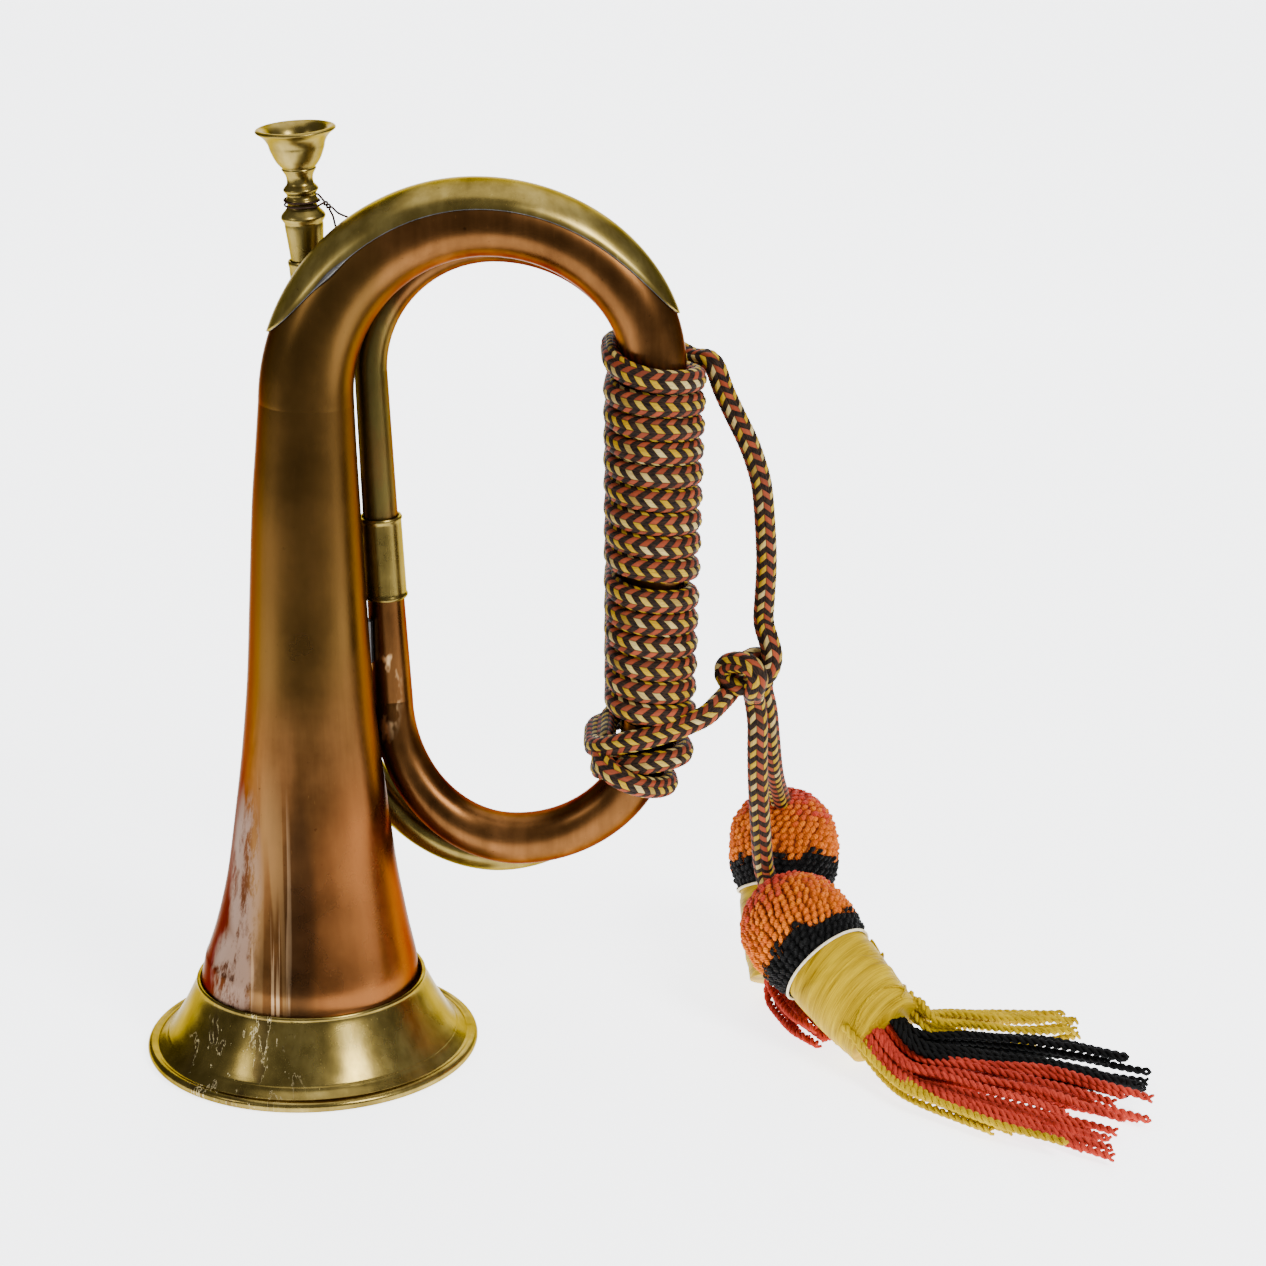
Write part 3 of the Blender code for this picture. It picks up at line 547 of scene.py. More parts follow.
def floss_material():
    """Glossy floss wound round in overlapping, slightly crossing layers; its light streaks are
    painted sheen.
    """
    n = Nodes("wound_floss", roughness=0.42)
    u, v = n.stitches()
    wave = n.times(n.math("SINE", n.math("MULTIPLY_ADD", u, 6.2832, 1.0)), 3.0)
    lay = n.plus(v, wave)
    threads = n.noise(n.vector(n.times(u, 5.0), n.times(lay, 2.6)), 1.0, 4.0, 0.7)
    tone = n.noise(n.vector(n.times(u, 4.0), n.times(lay, 0.35)), 1.0, 3.0)
    # Thread tone with painted sheen: the light end of the ramp stands in for the floss's sheen
    # along the threads.
    colour = n.ramp(n.plus(n.times(threads, 0.5), n.times(tone, 0.5)),
                    [(0.34, (0.15, 0.080, 0.0)), (0.47, (0.38, 0.240, 0.0)),
                     (0.64, (0.62, 0.42, 0.0))])
    n.shader.inputs["Specular IOR Level"].default_value = 0.03
    return n.finish(colour, None, threads, 0.7, 0.0004)


def yarn_material(name, dark, light):
    """Two-ply cotton: fibres run along each ply."""
    n = Nodes(name, roughness=0.75)
    u, v = n.stitches()
    fibre = n.noise(n.vector(n.times(u, 7.0), n.times(v, 0.5)), 1.0, 3.0, 0.6)
    slow = n.noise(n.place(), 60.0, 2.0)
    tone = n.plus(n.times(fibre, 0.6), n.times(slow, 0.4))
    colour = n.ramp(tone, [(0.36, dark), (0.62, light)])
    n.shader.inputs["Specular IOR Level"].default_value = 0.06
    return n.finish(colour, None, fibre, 0.5, 0.0002)


# --- The cord ------------------------------------------------------------------------

def leg_circles(height, slack):
    """Both right legs where they pass a height, as (x, y, radius)."""
    def at(top, low, crown_top, crown_low):
        (xt, yt, zt), (xl, yl, zl) = top[0], low[0]
        for (x0, y0, z0), crown, above in ((top[0], crown_top, True), (low[0], crown_low, False)):
            if (height > z0) if above else (height < z0):
                xc, yc, zc = crown[0]
                swing = math.asin(min(1.0, (height - z0) / (zc - z0)))
                return (xc + (x0 - xc) * math.cos(swing),
                        y0 + (yc - y0) * swing * 2 / math.pi)
        t = (height - zl) / (zt - zl)
        return xl + (xt - xl) * t, yl + (yt - yl) * t
    fx, fy = at(BOW_END, LEG_FRONT_END, BOW_CROWN, BOTTOM_CROWN)
    bx, by = at(LEG_BACK_TOP, LEG_BACK_END, BACK_CROWN, BACK_BOTTOM)
    share = min(1.0, max(0.0, (height - LEG_FRONT_END[0][2]) / 120.0))
    front_radius = LEG_FRONT_END[1] + (BOW_END[1] - LEG_FRONT_END[1]) * share
    return (fx, fy, front_radius + slack), (bx, by, LEG_BACK_END[1] + slack)


def wound(first, last, height_at, offset_at):
    """Centreline round both legs: degrees from +X, going back, left, front and right."""
    points = []
    for degrees in np.arange(first, last + 0.01, 3.0):
        z = height_at(degrees)
        normal = np.array([math.cos(math.radians(degrees)), math.sin(math.radians(degrees))])
        x, y, r = max(leg_circles(z, 0.5), key=lambda c: normal[0] * c[0] + normal[1] * c[1] + c[2])
        reach = r + offset_at(degrees)
        points.append((x + reach * normal[0], y + reach * normal[1], z))
    return np.array(points)


# The wound cord: degrees round from +X, height, distance of the centreline from the legs.
# 270 degrees is the front. Fifteen turns, with a gap after the ninth, then the hitch:
# a slanting turn that crosses over the next, that next turn, and the turn that leaves.
ROW_FIRST = 270.0
ROWS_HIGH = [240.0 - 7.975 * i for i in range(9)]
ROWS_LOW = [165.2 - 7.92 * i for i in range(6)]
LAST_ROW = ROW_FIRST + 360.0 * 14
WOUND = [(95.0, 243.6, 3.4), (140.0, 245.4, 3.1), (180.0, 245.2, 3.1), (225.0, 242.6, 3.1)]
WOUND += [(ROW_FIRST + 360.0 * i, z, 3.1) for i, z in enumerate(ROWS_HIGH + ROWS_LOW)]
WOUND += [(LAST_ROW + turn, z, reach) for turn, z, reach in (
    (90, 123.0, 3.2), (180, 118.6, 3.4), (240, 113.8, 3.8), (270, 111.6, 4.8),
    (300, 108.4, 8.0), (330, 104.8, 9.6), (352, 101.8, 8.0), (378, 99.2, 5.0),
    (405, 97.6, 3.7), (450, 96.4, 3.6), (540, 97.4, 3.6), (630, 101.0, 3.6),
    (675, 104.6, 3.6), (705, 107.2, 3.6), (735, 108.4, 3.6), (810, 108.2, 3.8),
    (900, 109.4, 4.4), (960, 109.4, 7.2), (990, 109.6, 8.8), (1018, 112.0, 7.6),
    (1045, 115.4, 5.4), (1080, 117.8, 3.9), (1105, 119.4, 4.0), (1128, 121.0, 6.4))]


def cord_route():
    """The whole cord, from the front tassel to the back one."""
    table = np.array(WOUND)
    coil = wound(table[0, 0], table[-1, 0],
                 lambda d: np.interp(d, table[:, 0], table[:, 1]),
                 lambda d: np.interp(d, table[:, 0], table[:, 2]))
    front = spline(TAIL_FRONT[::-1] + KNOT_FRONT[::-1] + STRAND_TOP[::-1] + [tuple(coil[0])])
    back = spline([tuple(coil[-1])] + STRAND_HITCH[1:] + KNOT_BACK + TAIL_BACK)
    line = np.vstack([evenly(front, 0.5)[:-1], evenly(coil, 0.5)[:-1], evenly(back, 0.5)])
    line = evenly(line, 0.55)
    for _ in range(18):
        line[1:-1] = (line[:-2] + 2 * line[1:-1] + line[2:]) / 4
    return line


def braid_height(u, v):
    """Raised stitches: 1 in the middle of each, 0 in the grooves between."""
    column = np.floor(u)
    across = u - column
    lean = np.where(column % 2 == 0, 1.0, -1.0)
    t = (v + lean * (across - 0.5) * LEAN) * 2
    along = t - np.floor(t)
    return (4 * across * (1 - across)) ** 0.5 * (4 * along * (1 - along)) ** 0.4


def make_cord(finish):
    """The cord along its route: round where it is free, pressed flat on the legs."""
    line = cord_route()
    along = lengths(line)
    ways = tangents(line)
    upward = np.array([0.0, 0.0, 1.0])
    wrapped = (np.abs(ways[:, 2]) < 0.55) & (line[:, 0] < GRIP_X) & (line[:, 2] > GRIP_Z)
    first, last = np.flatnonzero(wrapped)[[0, -1]]
    side = np.zeros_like(line)
    side[first:last + 1] = unit(upward - ways[first:last + 1] * ways[first:last + 1, 2:3])
    for i in range(last + 1, len(line)):
        side[i] = unit(side[i - 1] - ways[i] * (side[i - 1] @ ways[i]))
    for i in range(first - 1, -1, -1):
        side[i] = unit(side[i + 1] - ways[i] * (side[i + 1] @ ways[i]))
    hitch_from, hitch_to = along[last] - 390, along[last] - 330
    flat = np.interp(along, [along[first], along[first] + 12, hitch_from, hitch_to],
                     [0, 1, 1, 0.25])
    flat[:first] = 0
    flat[last:] = 0
    wide = CORD / 2 - INSET + flat * (GRIP_PITCH / 2 - CORD / 2 - 0.02)
    thick = CORD / 2 - INSET - flat * (CORD - TURN_THICK) / 2

    sides = COLUMNS * 4
    turn = 0.25 * np.sin(along / 130.0) + 0.4
    u = np.arange(sides + 1)[None, :] / 4.0 + np.zeros((len(line), 1))
    v = np.repeat((along / STITCH)[:, None], sides + 1, 1)
    bumps = braid_height(u + 1e-4, v)[:, :sides] * STITCH_RISE
    grid = rings(line, wide[:, None] + bumps, sides, sidewise=side,
                 height=thick[:, None] + bumps, twist=turn)

    cut_top = int(np.argmin(np.linalg.norm(line - STRAND_TOP[0], axis=1)))
    cut_low = int(np.argmin(np.linalg.norm(line - STRAND_HITCH[1], axis=1)))
    uv = np.stack([u, v], -1)
    made = []
    for name, a, b, nodes in (
            ("cord_to_front_tassel", 0, cut_top,
             ["cord_tail_front", "cord_strand_top", "cord_knot"]),
            ("cord_wound_grip", cut_top, cut_low, ["cord_grip", "cord_hitch"]),
            ("cord_to_back_tassel", cut_low, len(line) - 1,
             ["cord_strand_hitch", "cord_tail_back"])):
        part = slice(a, b + 1)
        mesh = skin(name, [grid[part]], [uv[part]])
        piece = add_piece(mesh, finish, nodes)
        path = (line[part] + (BELL_X, 0, 0)) * MM
        made.append((piece, path))
    return made


# --- Tassels -------------------------------------------------------------------------

def axis_frame(base, direction):
    """Origin and axes of a turned piece; its own Z is the direction."""
    z = unit(direction)
    x = unit(np.array([1.0, 0.0, 0.0]) - z * z[0])
    return np.asarray(base, float), np.stack([x, np.cross(z, x), z])


def turned(outline, sides, bump=None, frame_at=None):
    """Grid of an outline (radius, height) turned about an axis."""
    angle = np.linspace(0, 2 * math.pi, sides, endpoint=False)
    radius = outline[:, :1] + (0.0 if bump is None else bump)
    local = np.stack([radius * np.cos(angle), radius * np.sin(angle),
                      np.broadcast_to(outline[:, 1:2], (len(outline), sides))], -1)
    if frame_at is None:
        return local
    base, axes = frame_at
    return base + local @ axes


HEAD_OUTLINE = [(1.2, -20.4), (3.4, -20.2), (9.0, -18.3), (14.2, -14.2), (18.0, -8.0),
                (19.5, 0.0), (19.3, 7.0), (18.3, 12.0), (16.6, 17.6)]
STITCH_HIGH = 2.35
STITCH_WIDE = 2.95
INSIDE_BAND = 44.0      # depth in the band at which the strands begin


def make_head(side, place, finish):
    """Slanting stitches in rows; each laps over the row above it."""
    outline = spline(HEAD_OUTLINE, 24)
    steps = lengths(outline)
    rng = np.random.default_rng(5 if side == "front" else 6)
    sides = 336
    s = np.arange(0.0, steps[-1], 0.27)
    angle = np.linspace(0, 1, sides + 1)[None, :]
    wave = 0.22 * np.sin(2 * math.pi * (3 * angle + 0.2)) + 0.15 * np.sin(2 * math.pi * 7 * angle)
    level = s[:, None] / STITCH_HIGH + wave
    rows = int(steps[-1] / STITCH_HIGH) + 3
    radii = np.interp(np.arange(rows) * STITCH_HIGH, steps, outline[:, 0])
    counts = np.maximum(6, np.round(2 * math.pi * radii / STITCH_WIDE)).astype(int)
    shifts = rng.random(rows)
    sway = rng.uniform(-0.22, 0.22, (rows, 64))
    size = rng.uniform(0.72, 1.2, (rows, 64))
    best = np.full(level.shape, 0.0)
    u = np.full(level.shape, 0.02)
    v = np.clip(np.floor(level), 0, rows - 1) + 0.5
    for hop in (-1, 0, 1):
        row = np.clip(np.floor(level).astype(int) + hop, 0, rows - 1)
        b = level - row
        turn = angle * counts[row] + shifts[row] - 0.42 * b
        which = np.floor(turn).astype(int) % counts[row]
        across = turn - np.floor(turn) - 0.5 - sway[row, which]
        swell = 1 - (across / 0.44) ** 2 - (np.abs(b - 0.5) / 0.56) ** 2
        height = np.sqrt(np.maximum(swell, 0)) * size[row, which] * (1.12 - 0.18 * b)
        wins = height > best
        best = np.where(wins, height, best)
        u = np.where(wins, which + 0.5 + across * 0.95, u)
        v = np.where(wins, row + np.clip(b * 0.5 + 0.2, 0.02, 0.98), v)
    edge = np.clip(np.minimum(s, steps[-1] - s) / 1.5, 0.15, 1)[:, None]
    profile = np.stack([np.interp(s, steps, outline[:, 0]), np.interp(s, steps, outline[:, 1])], 1)
    bump = (best[:, :-1] * 1.8 - 1.05) * edge
    grid = turned(profile, sides, bump, axis_frame(*place))
    mesh = skin(f"crochet_head_{side}", [grid], [np.stack([u, v], -1)])
    return add_piece(mesh, finish, [f"tassel_{side}_head"])


def make_band(side, place, finish):
    """Cup of wound floss, a little ragged where its layers end."""
    outline = evenly(spline([(11.0, 17.0, 0), (16.0, 17.2, 0), (16.5, 18.4, 0), (16.4, 26.0, 0),
                             (15.2, 38.0, 0), (14.4, 48.6, 0), (13.8, 49.8, 0), (9.0, 50.0, 0)],
                            10), 0.5)[:, :2]
    sides = 160
    angle = np.linspace(0, 2 * math.pi, sides + 1)
    s = outline[:, 1:2]
    height = np.zeros((len(outline), sides + 1))
    for start, swing, phase, rise in ((26.0, 7.0, 0.6, 0.34), (33.0, -9.0, 2.1, 0.38),
                                      (40.0, 6.0, 4.0, -0.34), (44.5, 4.0, 1.2, -0.3)):
        edge = start + swing * np.cos(angle - phase)
        height += rise / (1 + np.exp(-(s - edge) / 0.22))
    grid = turned(outline, sides, height[:, :-1], axis_frame(*place))
    uv = np.stack([np.broadcast_to(angle / (2 * math.pi), height.shape),
                   np.broadcast_to(s, height.shape)], -1)
    mesh = skin(f"floss_band_{side}", [grid], [uv])
    return add_piece(mesh, finish, [f"tassel_{side}_band"])


def make_wraps(side, place, finish):
    """Threads laid aslant over the band, and the pale one that stands off its top."""
    base, axes = axis_frame(*place)
    grids = []
    slants = [(-1.9, 18.5, 1.1, 30.0, 48.5), (-1.2, 47.0, 1.5, 30.0, 20.0),
              (-2.6, 40.0, 1.9, 36.0, 27.0), (-0.6, 33.0, 1.6, 40.0, 47.0),
              (-1.0, 24.0, 1.3, 25.0, 26.5), (0.6, 44.0, 1.7, 38.0, 45.5)]
    for start, high, swing, middle, end in slants:
        t = np.linspace(0, 1, 70)
        angle = start + swing * t
        s = (1 - t) ** 2 * high + 2 * t * (1 - t) * middle + t ** 2 * end
        radius = np.interp(s, (18.4, 26.0, 38.0, 48.6), (16.5, 16.4, 15.2, 14.4)) + 0.62
        for apart in (0.0, 0.55):
            turned_by = angle + apart / 16
            local = np.stack([radius * np.cos(turned_by), radius * np.sin(turned_by),
                              s + apart * 0.5], -1)
            grids.append(rings(base + local @ axes, 0.46, 8))
    turn = np.linspace(0, 2 * math.pi, 141)
    stand = 0.35 + 1.1 * np.clip(np.cos(turn + 1.9), 0, 1) ** 2
    local = np.stack([(16.8 + stand) * np.cos(turn), (16.8 + stand) * np.sin(turn),
                      17.2 - 1.6 * np.clip(np.cos(turn + 1.9), 0, 1) ** 2], -1)
    edge = base + local @ axes
    threads = skin(f"band_threads_{side}", grids,
                   [np.stack(np.meshgrid(np.arange(9) / 8.0, np.arange(len(g)) * 0.5), -1)
                    for g in grids])
    pale = skin(f"edge_thread_{side}", [rings(edge, 0.5, 10)],
                [np.stack(np.meshgrid(np.arange(11) / 10.0, np.arange(141) * 0.7), -1)])
    return [add_piece(threads, finish[0], []),
            add_piece(pale, finish[1], [])]


def strand(line, rng, ply=0.78, lay=0.70, pitch=5.6):
    """Two plies twisted round each other; they spread a little at the loose end."""
    line = evenly(line, 0.75)
    along = lengths(line)
    ways = tangents(line)
    side = transported(ways, np.array([0.1, 0.2, 1.0]))
    up = np.cross(ways, side)
    start = rng.uniform(0, 6.28)
    left = along[-1] - along
    open_end = np.exp(-left / 1.6)
    grids, uvs = [], []
    for half in (0.0, math.pi):
        angle = start + half + along * 2 * math.pi / pitch
        offset = lay + 0.5 * open_end
        centre = (line + side * (offset * np.cos(angle))[:, None]
                  + up * (offset * np.sin(angle))[:, None])
        centre[:, 2] = np.maximum(centre[:, 2], ply + 0.05)
        radius = ply * (1 - 0.35 * open_end)
        grids.append(rings(centre, radius, 8))
        uvs.append(np.stack([np.broadcast_to(np.arange(9) / 8.0, (len(line), 9)),
                             np.repeat(along[:, None], 9, 1)], -1))
    return grids, uvs


def fringe(name, centres, widths, heights, count, head_place, finish, nodes, seed,
           ends=(0.74, 1.02)):
    """Strands that leave the band together and spread over a bundle's own space."""
    rng = np.random.default_rng(seed)
    centres = np.array(centres, float)
    base, direction = np.asarray(head_place[0]), unit(head_place[1])
    depth = (centres[0] - base) @ direction
    grids, uvs = [], []
    for k in range(count):
        a = (k + 0.5) / count * 2 - 1
        b = rng.uniform(-0.8, 0.8)
        reach = rng.uniform(*ends)
        route = [centres[0] - direction * (depth - INSIDE_BAND)]
        wander = rng.normal(0, 1.0, 2)
        for i, centre in enumerate(centres):
            before, after = centres[max(i - 1, 0)], centres[min(i + 1, len(centres) - 1)]
            along = unit(after - before)
            across = unit(np.cross(along, (0.0, 0.0, 1.0)))
            upward = np.cross(across, along)
            wander = 0.6 * wander + rng.normal(0, 0.8, 2)
            point = (centre + across * (a * widths[i] + 1.0 * wander[0])
                     + upward * (b * heights[i] * 1.1 + 0.5 * wander[1]))
            point[2] = max(point[2], 1.6)
            route.append(point)
        route[0] = route[0] + (route[1] - centres[0]) * 0.9
        line = spline(route, 16)
        kept = lengths(line) <= lengths(line)[-1] * reach
        line = evenly(line[kept], 2.0)
        sway = np.sin(lengths(line) / rng.uniform(5.5, 9.0) + rng.uniform(0, 6.28)) * 0.45
        line[:, 0] += sway * 0.5
        line[:, 1] += sway
        line[:, 2] = np.maximum(line[:, 2], 1.5)
        more, coords = strand(line, rng)
        grids += more
        uvs += coords
    return add_piece(skin(name, grids, uvs), finish, nodes)


def make_tassels(finishes):
    crochet, floss, yellow, black, red, cream = finishes
    front, back = [], []
    for side, place, made in (("front", HEAD_FRONT, front), ("back", HEAD_BACK, back)):
        made.append(make_head(side, place, crochet))
        made.append(make_band(side, place, floss))
        made += make_wraps(side, place, (floss, cream))
    front.append(fringe(
        "fringe_yellow", [(211.6, -20.6, 18.4), (220, -15, 15.6), (236, -6, 10.2), (254, 0, 7.4),
                          (270, 5, 5.2)], (4.6, 8, 10.5, 11, 9), (3, 4, 4.6, 4.4, 3.4), 10,
        HEAD_FRONT, yellow, ["tassel_front_fringe_yellow"], 11))
    front.append(fringe(
        "fringe_black", [(209, -28.0, 12.4), (229, -28, 9.6), (256, -33, 7.8), (285, -43, 5.6)],
        (5.6, 9, 11.5, 12), (3.8, 5.6, 6.2, 5.0), 18, HEAD_FRONT, black,
        ["tassel_front_fringe_black"], 12))
    front.append(fringe(
        "fringe_red", [(205, -37.5, 7.4), (222, -48.5, 6.4), (246, -61, 6), (276, -79, 4.2)],
        (7, 13, 19, 21), (5.4, 6.6, 6.6, 5.0), 27, HEAD_FRONT, red,
        ["tassel_front_fringe_red"], 13))
    front.append(fringe(
        "fringe_gold", [(196.8, -42, 5.6), (208, -58, 4.4), (230, -77, 3.6), (262, -97, 2.8)],
        (4, 3.0, 2.2, 1.4), (4.6, 4.2, 3.4, 2.8), 3, HEAD_FRONT, yellow,
        ["tassel_front_fringe_gold"], 14, ends=(0.55, 1.0)))
    back.append(fringe(
        "fringe_back", [(169.2, 29, 6.6), (172, 18, 5), (176, 4, 4.6), (181, -6, 4)],
        (9, 8.5, 7, 5), (5.6, 4.6, 4.2, 3.6), 15, HEAD_BACK, red,
        ["tassel_back_fringe"], 15))
    return front, back


# --- The instrument ------------------------------------------------------------------

def lapped(line):
    """The line begun a little sooner and thinner, so that it starts inside the tube before."""
    way = tangents(line)[0]
    row = np.append(line[0, :3] - way * 0.7, line[0, 3] - 0.03)
    return np.vstack([row, line])


def add_pipe(name, line, finish, nodes, wall=WALL, sides=64):
    mesh = skin(name, [shell(line, line[:, 3], wall, sides)], caps=False, crease=38.0)
    add_piece(mesh, finish, nodes)


BELL = [(6.5, 0, 48.4), (15, 0, 43), (26.3, 0, 37.9), (34, .6, 36.3), (44, 1.1, 33.6),
        (55, 1.5, 31.1), (68, 1.8, 28.7), (88, 2.2, 26.1), (110, 2.5, 23.4), (135, 2.8, 21.1),
        (165, 3.1, 19.5), (195, 3.5, 18), (214, 4.05, 16.75), (230, 4.6, 15.8)]


def receiver_point(depth):
    axis = unit(np.subtract(RECEIVER_TOP, LEADPIPE_END[0]))
    return np.array(RECEIVER_TOP) - axis * depth, axis


def make_tubes(copper, bell_copper, leg_copper, brass):
    joint = tuple(np.add(FERRULE_LOW[0], FERRULE_HIGH[0]) / 2), 6.05
    socket_foot = tuple(receiver_point(RECEIVER_LENGTH + 0.1)[0])
    bell = spline([(x, 0.0, z, r) for z, x, r in BELL], 10)
    add_pipe("bell", bell, bell_copper, ["bell_tube"], sides=96)
    main_bow = lapped(bow(BELL_TOP, BOW_CROWN, BOW_END))
    add_pipe("main_bow", main_bow, bell_copper, ["top_bow_front"], sides=80)
    for name, line, finish, slot, node in (
            ("front_leg", leg(BOW_END, LEG_FRONT_END), copper, "aged_copper", "right_leg_front"),
            ("low_bow_front", lapped(bow(LEG_LOWER_END, BOTTOM_CROWN, LEG_FRONT_END)),
             leg_copper, "aged_copper", "bottom_bow_front"),
            ("left_leg_low", leg(LEG_LOWER_END, joint), leg_copper, "aged_copper",
             "left_leg_lower"),
            ("left_leg_high", leg(joint, LEG_UPPER_END), leg_copper, "aged_copper",
             "left_leg_upper"),
            ("high_bow_back", lapped(bow(LEG_UPPER_END, BACK_CROWN, LEG_BACK_TOP)),
             leg_copper, "aged_copper", "top_bow_back"),
            ("back_leg", leg(LEG_BACK_TOP, LEG_BACK_END), copper, "aged_copper",
             "right_leg_back"),
            ("low_bow_back", lapped(bow(LEADPIPE_END, BACK_BOTTOM, LEG_BACK_END)),
             brass, "aged_brass", "bottom_bow_back"),
            ("mouth_pipe", leg(LEADPIPE_END, (socket_foot, LEADPIPE_END[1])), brass,
             "aged_brass", "leadpipe")):
        add_pipe(name, line, finish, [node])

    t = np.linspace(0, 1, 60)
    low, high = np.array(FERRULE_LOW[0]), np.array(FERRULE_HIGH[0])
    radius = FERRULE_LOW[1] + 1.1 + (FERRULE_HIGH[1] - FERRULE_LOW[1]) * t
    for edge in (0.025, 0.975):
        radius = radius + 0.42 * np.exp(-((t - edge) / 0.018) ** 2)
    line = np.column_stack([low + (high - low) * t[:, None], radius])
    add_pipe("ferrule", line, brass, ["leg_ferrule"], wall=0.75)


def make_guard(brass):
    """Brass saddle on the outer side of the main bow, pointed at both ends."""
    line = bow(BELL_TOP, BOW_CROWN, BOW_END, 90)
    along = lengths(line)
    ways = tangents(line)
    outward = np.cross(ways, (0.0, 1.0, 0.0))
    coarse = bow(BELL_TOP, BOW_CROWN, BOW_END, 11)
    low_end, high_end = coarse[2], coarse[-3]
    first = int(np.argmin(np.linalg.norm(line[:, :3] - low_end[:3], axis=1)))
    last = int(np.argmin(np.linalg.norm(line[:, :3] - high_end[:3], axis=1)))
    cells = 24
    outer, inner = [], []
    for i in range(first, last + 1):
        place = 2 * (along[i] - along[first]) / (along[last] - along[first]) - 1
        reach = GUARD_REACH * max(math.sqrt(1 - abs(place) ** 5), 0.06)
        angle = np.linspace(-reach, reach, cells)[:, None]
        spoke = outward[i] * np.cos(angle) + np.array([0.0, 1.0, 0.0]) * np.sin(angle)
        edge = np.clip((1 - np.abs(np.linspace(-1, 1, cells))) * 9.0, 0, 1)[:, None]
        outer.append(line[i, :3] + spoke * (line[i, 3] + 0.35 + 0.5 * edge ** 0.5))
        inner.append(line[i, :3] + spoke * (line[i, 3] + 0.12))
    grid = np.concatenate([np.array(outer), np.array(inner)[:, ::-1]], 1)
    mesh = skin("saddle", [grid], crease=45.0)
    add_piece(mesh, brass, ["bow_guard"])
    return np.array(outer)


def make_solder_seam(outer, solder):
    """Thin bead of solder along the saddle's front edge, thicker near the bell's end."""
    edge = outer[:, 0]
    along = lengths(edge)
    share = along / along[-1]
    rng = np.random.default_rng(8)
    rough = np.convolve(rng.normal(0, 1, len(edge) + 8), np.ones(9) / 9, "valid")
    radius = 0.10 + 0.10 * rough + 0.80 * np.exp(-((share - 0.21) / 0.035) ** 2)
    radius = np.maximum(radius, 0.12) * np.clip(np.minimum(share, 1 - share) * 30, 0.2, 1)
    line = evenly(edge, 0.8)
    mesh = skin("solder_seam", [rings(line, np.interp(lengths(line), along, radius), 10)])
    add_piece(mesh, solder, [])


def make_garland(brass):
    middle, bead = (55.6, 1.9), 1.9
    turn = np.radians(np.linspace(125, -155, 22))
    arc = [(middle[0] + bead * math.cos(a), max(0.0, middle[1] + bead * math.sin(a)))
           for a in turn]
    cone = [(38.05, 26.1), (38.5, 26.6), (39.3, 26.6), (39.75, 26.0), (39.85, 25.0), (41.5, 21.5),
            (44.6, 15.3), (47.8, 9.8), (49.6, 7.2), (50.2, 6.5), (50.5, 6.3), (51.4, 5.4),
            (52.9, 4.2), (53.7, 3.55)]
    inside = [(54.2, 1.0), (53.3, 2.2), (51.0, 4.8), (47.3, 9.2), (44.0, 14.9), (40.9, 21.2),
              (38.1, 25.4)]
    cone = spline([(*p, 0) for p in cone], 6)[:, :2]
    inside = spline([(*p, 0) for p in inside], 4)[:, :2]
    outline = np.vstack([cone, arc, inside])
    outline = np.vstack([outline, outline[:1]])
    grid = turned(outline, 144, frame_at=axis_frame((0, 0, 0), (0, 0, 1)))
    mesh = skin("garland", [grid], caps=False, crease=50.0)
    add_piece(mesh, brass, ["bell_garland"])


def make_mouthpiece(brass, iron):
    axis = receiver_point(0.0)[1]
    top = np.array(RECEIVER_TOP) + axis * SHANK_TOP
    low = -SHANK_TOP
    outside = [(11.9, 0.12), (12.5, 0.1), (13.0, -0.1), (13.3, -0.55), (13.05, -1.0),
               (12.3, -1.5), (11.1, -2.5), (10.1, -3.8), (9.4, -5.3), (9.1, -6.6),
               (8.6, -8.0), (7.6, -10.3), (6.4, -12.1), (5.6, -13.0), (5.75, -13.6),
               (5.3, -14.3), (4.6, -15.6), (4.35, -17.0), (4.5, -18.4), (5.2, -19.3),
               (5.85, -20.3), (5.3, -21.3), (4.85, -22.0), (4.9, -23.0), (5.35, -23.7),
               (5.4, -24.4), (5.0, -25.0), (5.1, -26.2), (5.9, -27.2), (7.1, -28.6),
               (7.4, -29.6), (6.9, -30.6), (6.45, -31.4), (6.4, -33.0), (5.9, -38.5),
               (5.5, low), (4.9, low - SHANK)]
    inside = [(3.9, low - SHANK), (2.6, -40.0), (1.9, -20), (1.9, -15), (3.4, -12),
              (5.5, -9.4), (7.2, -6), (8.7, -2.6), (10.2, -.7), (11.2, -0.1)]
    smooth_out = spline([(*p, 0) for p in outside], 5)[:, :2]
    smooth_in = spline([(*p, 0) for p in inside], 6)[:, :2]
    outline = np.vstack([smooth_out, smooth_in, smooth_out[:1]])
    grid = turned(outline, 72, frame_at=axis_frame(top, axis))
    mesh = skin("cup_mouthpiece", [grid], caps=False, crease=50.0)
    add_piece(mesh, brass, ["mouthpiece"], "mouthpiece")

    ring = [(5.8, 0.0), (6.3, 0.05), (6.55, -0.5), (6.5, -1.3), (6.3, -1.9), (6.25, -4.0),
            (6.1, -14.0), (6.3, -14.4), (6.3, -15.2), (6.1, -15.6), (5.95, -21.0),
            (5.35, -21.0), (5.75, -0.2), (5.8, 0.0)]
    grid = turned(np.array(ring), 64, frame_at=axis_frame(RECEIVER_TOP, axis))
    mesh = skin("receiver", [grid], caps=False, crease=50.0)
    add_piece(mesh, brass, ["mouthpiece_receiver"])

    line = tie_route(top, axis)
    mesh = skin("iron_tie", [rings(evenly(spline(line, 8), 0.4), 0.36, 10)])
    add_piece(mesh, iron, ["tie_wire"], "tie")


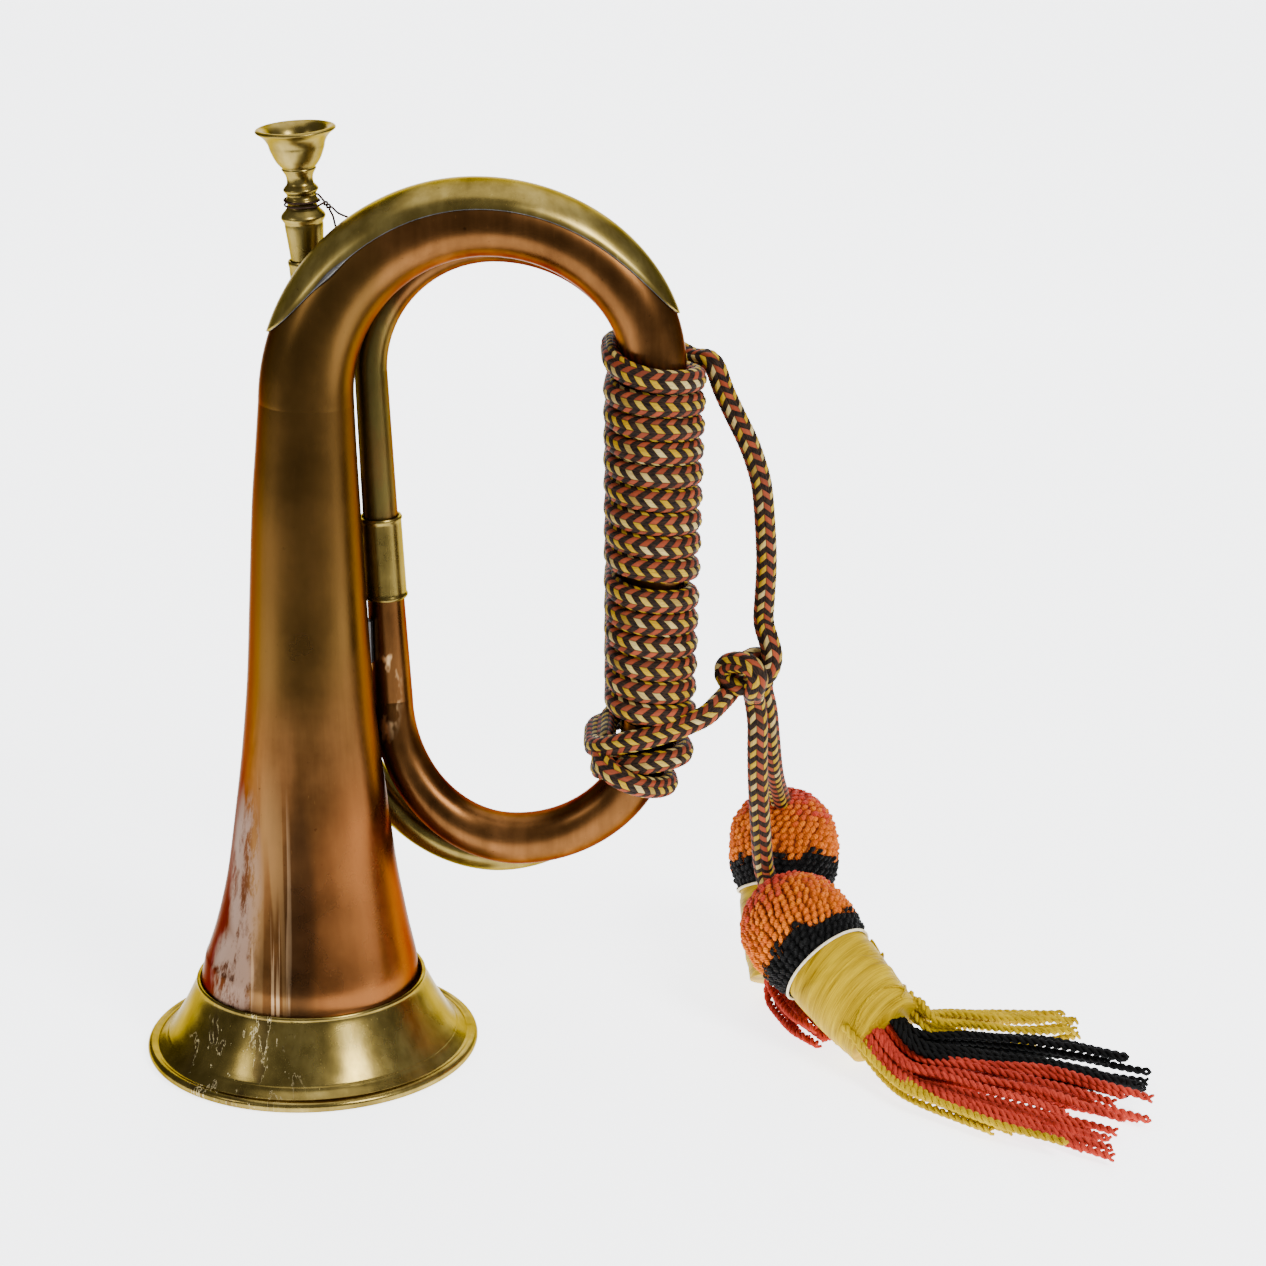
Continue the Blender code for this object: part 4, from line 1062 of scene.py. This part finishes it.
def tie_route(rim, axis):
    """Loose end, twist, two turns round the neck, twist, loose end."""
    base, axes = axis_frame(rim, axis)

    def place(x, y, z):
        return base + np.array([x, y, z]) @ axes

    steps = 26
    loop = []
    for i in range(steps + 1):
        angle = math.radians(14) + (4 * math.pi - math.radians(28)) * i / steps
        loop.append(place(5.75 * math.cos(angle), 5.75 * math.sin(angle), -23.0 - 2.9 * i / steps))
    start, end = np.array([7.4, 0.0, -25.2]), np.array([9.4, 0.0, -27.6])
    side = np.cross(unit(end - start), (0.0, 1.0, 0.0))

    def twisted(phase):
        strands = []
        for i in range(9):
            angle = phase + 2 * math.pi * 1.25 * i / 8
            offset = side * math.sin(angle) * 0.62 + np.array([0, 1, 0]) * math.cos(angle) * 0.62
            strands.append(place(*(start + (end - start) * i / 8 + offset)))
        return strands

    end_a = [place(11.4, 0.9, -29.2), place(14.2, 1.6, -30.9), place(18.6, 2.4, -33.2)]
    end_b = [place(9.9, -1.2, -29.8), place(10.4, -1.0, -33.2), place(11.2, 0.6, -37.6)]
    return np.array(end_a[::-1] + twisted(0.0)[::-1] + loop + twisted(math.pi) + end_b)


def finish_cad_nodes(solder, iron):
    """CAD nodes whose shape is right keep it and take a finer material."""
    for name, finish in (("solder_leg", solder), ("solder_leadpipe", solder),
                         ("solder_bows_top", solder), ("solder_bows_low", solder),
                         ("rim_wire", iron)):
        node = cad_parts[name]
        node.data.materials.clear()
        node.data.materials.append(finish)


def main():
    make_camera()
    make_stage()
    cords = make_cord(braid_material())
    brass_tones = (0.080, 0.055, 0.012), (0.195, 0.140, 0.036), (0.36, 0.275, 0.085)
    copper_tones = (0.052, 0.020, 0.006), (0.118, 0.049, 0.014), (0.215, 0.090, 0.028)
    copper = worn_metal("copper", *copper_tones, 0.30)
    bell_copper = worn_metal("bell_copper", *copper_tones, 0.30, marks=bell_marks)
    leg_copper = worn_metal("leg_copper", *copper_tones, 0.32, marks=leg_marks)
    brass = worn_metal("brass", *brass_tones, 0.27)
    rim_brass = worn_metal("rim_brass", *brass_tones, 0.24, marks=garland_marks)
    solder = worn_metal("solder", (0.040, 0.038, 0.036), (0.10, 0.098, 0.096),
                        (0.22, 0.22, 0.22), 0.45)
    iron = worn_metal("iron", (0.02, 0.012, 0.01), (0.05, 0.03, 0.022), (0.10, 0.06, 0.04), 0.55)
    make_tubes(copper, bell_copper, leg_copper, brass)
    make_solder_seam(make_guard(brass), solder)
    make_garland(rim_brass)
    make_mouthpiece(brass, iron)
    finish_cad_nodes(solder, iron)

    yarns = (crochet_material(), floss_material(),
             yarn_material("yarn_yellow", (0.24, 0.145, 0.0), (0.55, 0.37, 0.0)),
             yarn_material("yarn_black", (0.002, 0.002, 0.002), (0.008, 0.008, 0.008)),
             yarn_material("yarn_red", (0.23, 0.015, 0.010), (0.52, 0.050, 0.028)),
             yarn_material("yarn_cream", (0.62, 0.52, 0.32), (0.92, 0.84, 0.62)))
    front, back = make_tassels(yarns)


main()
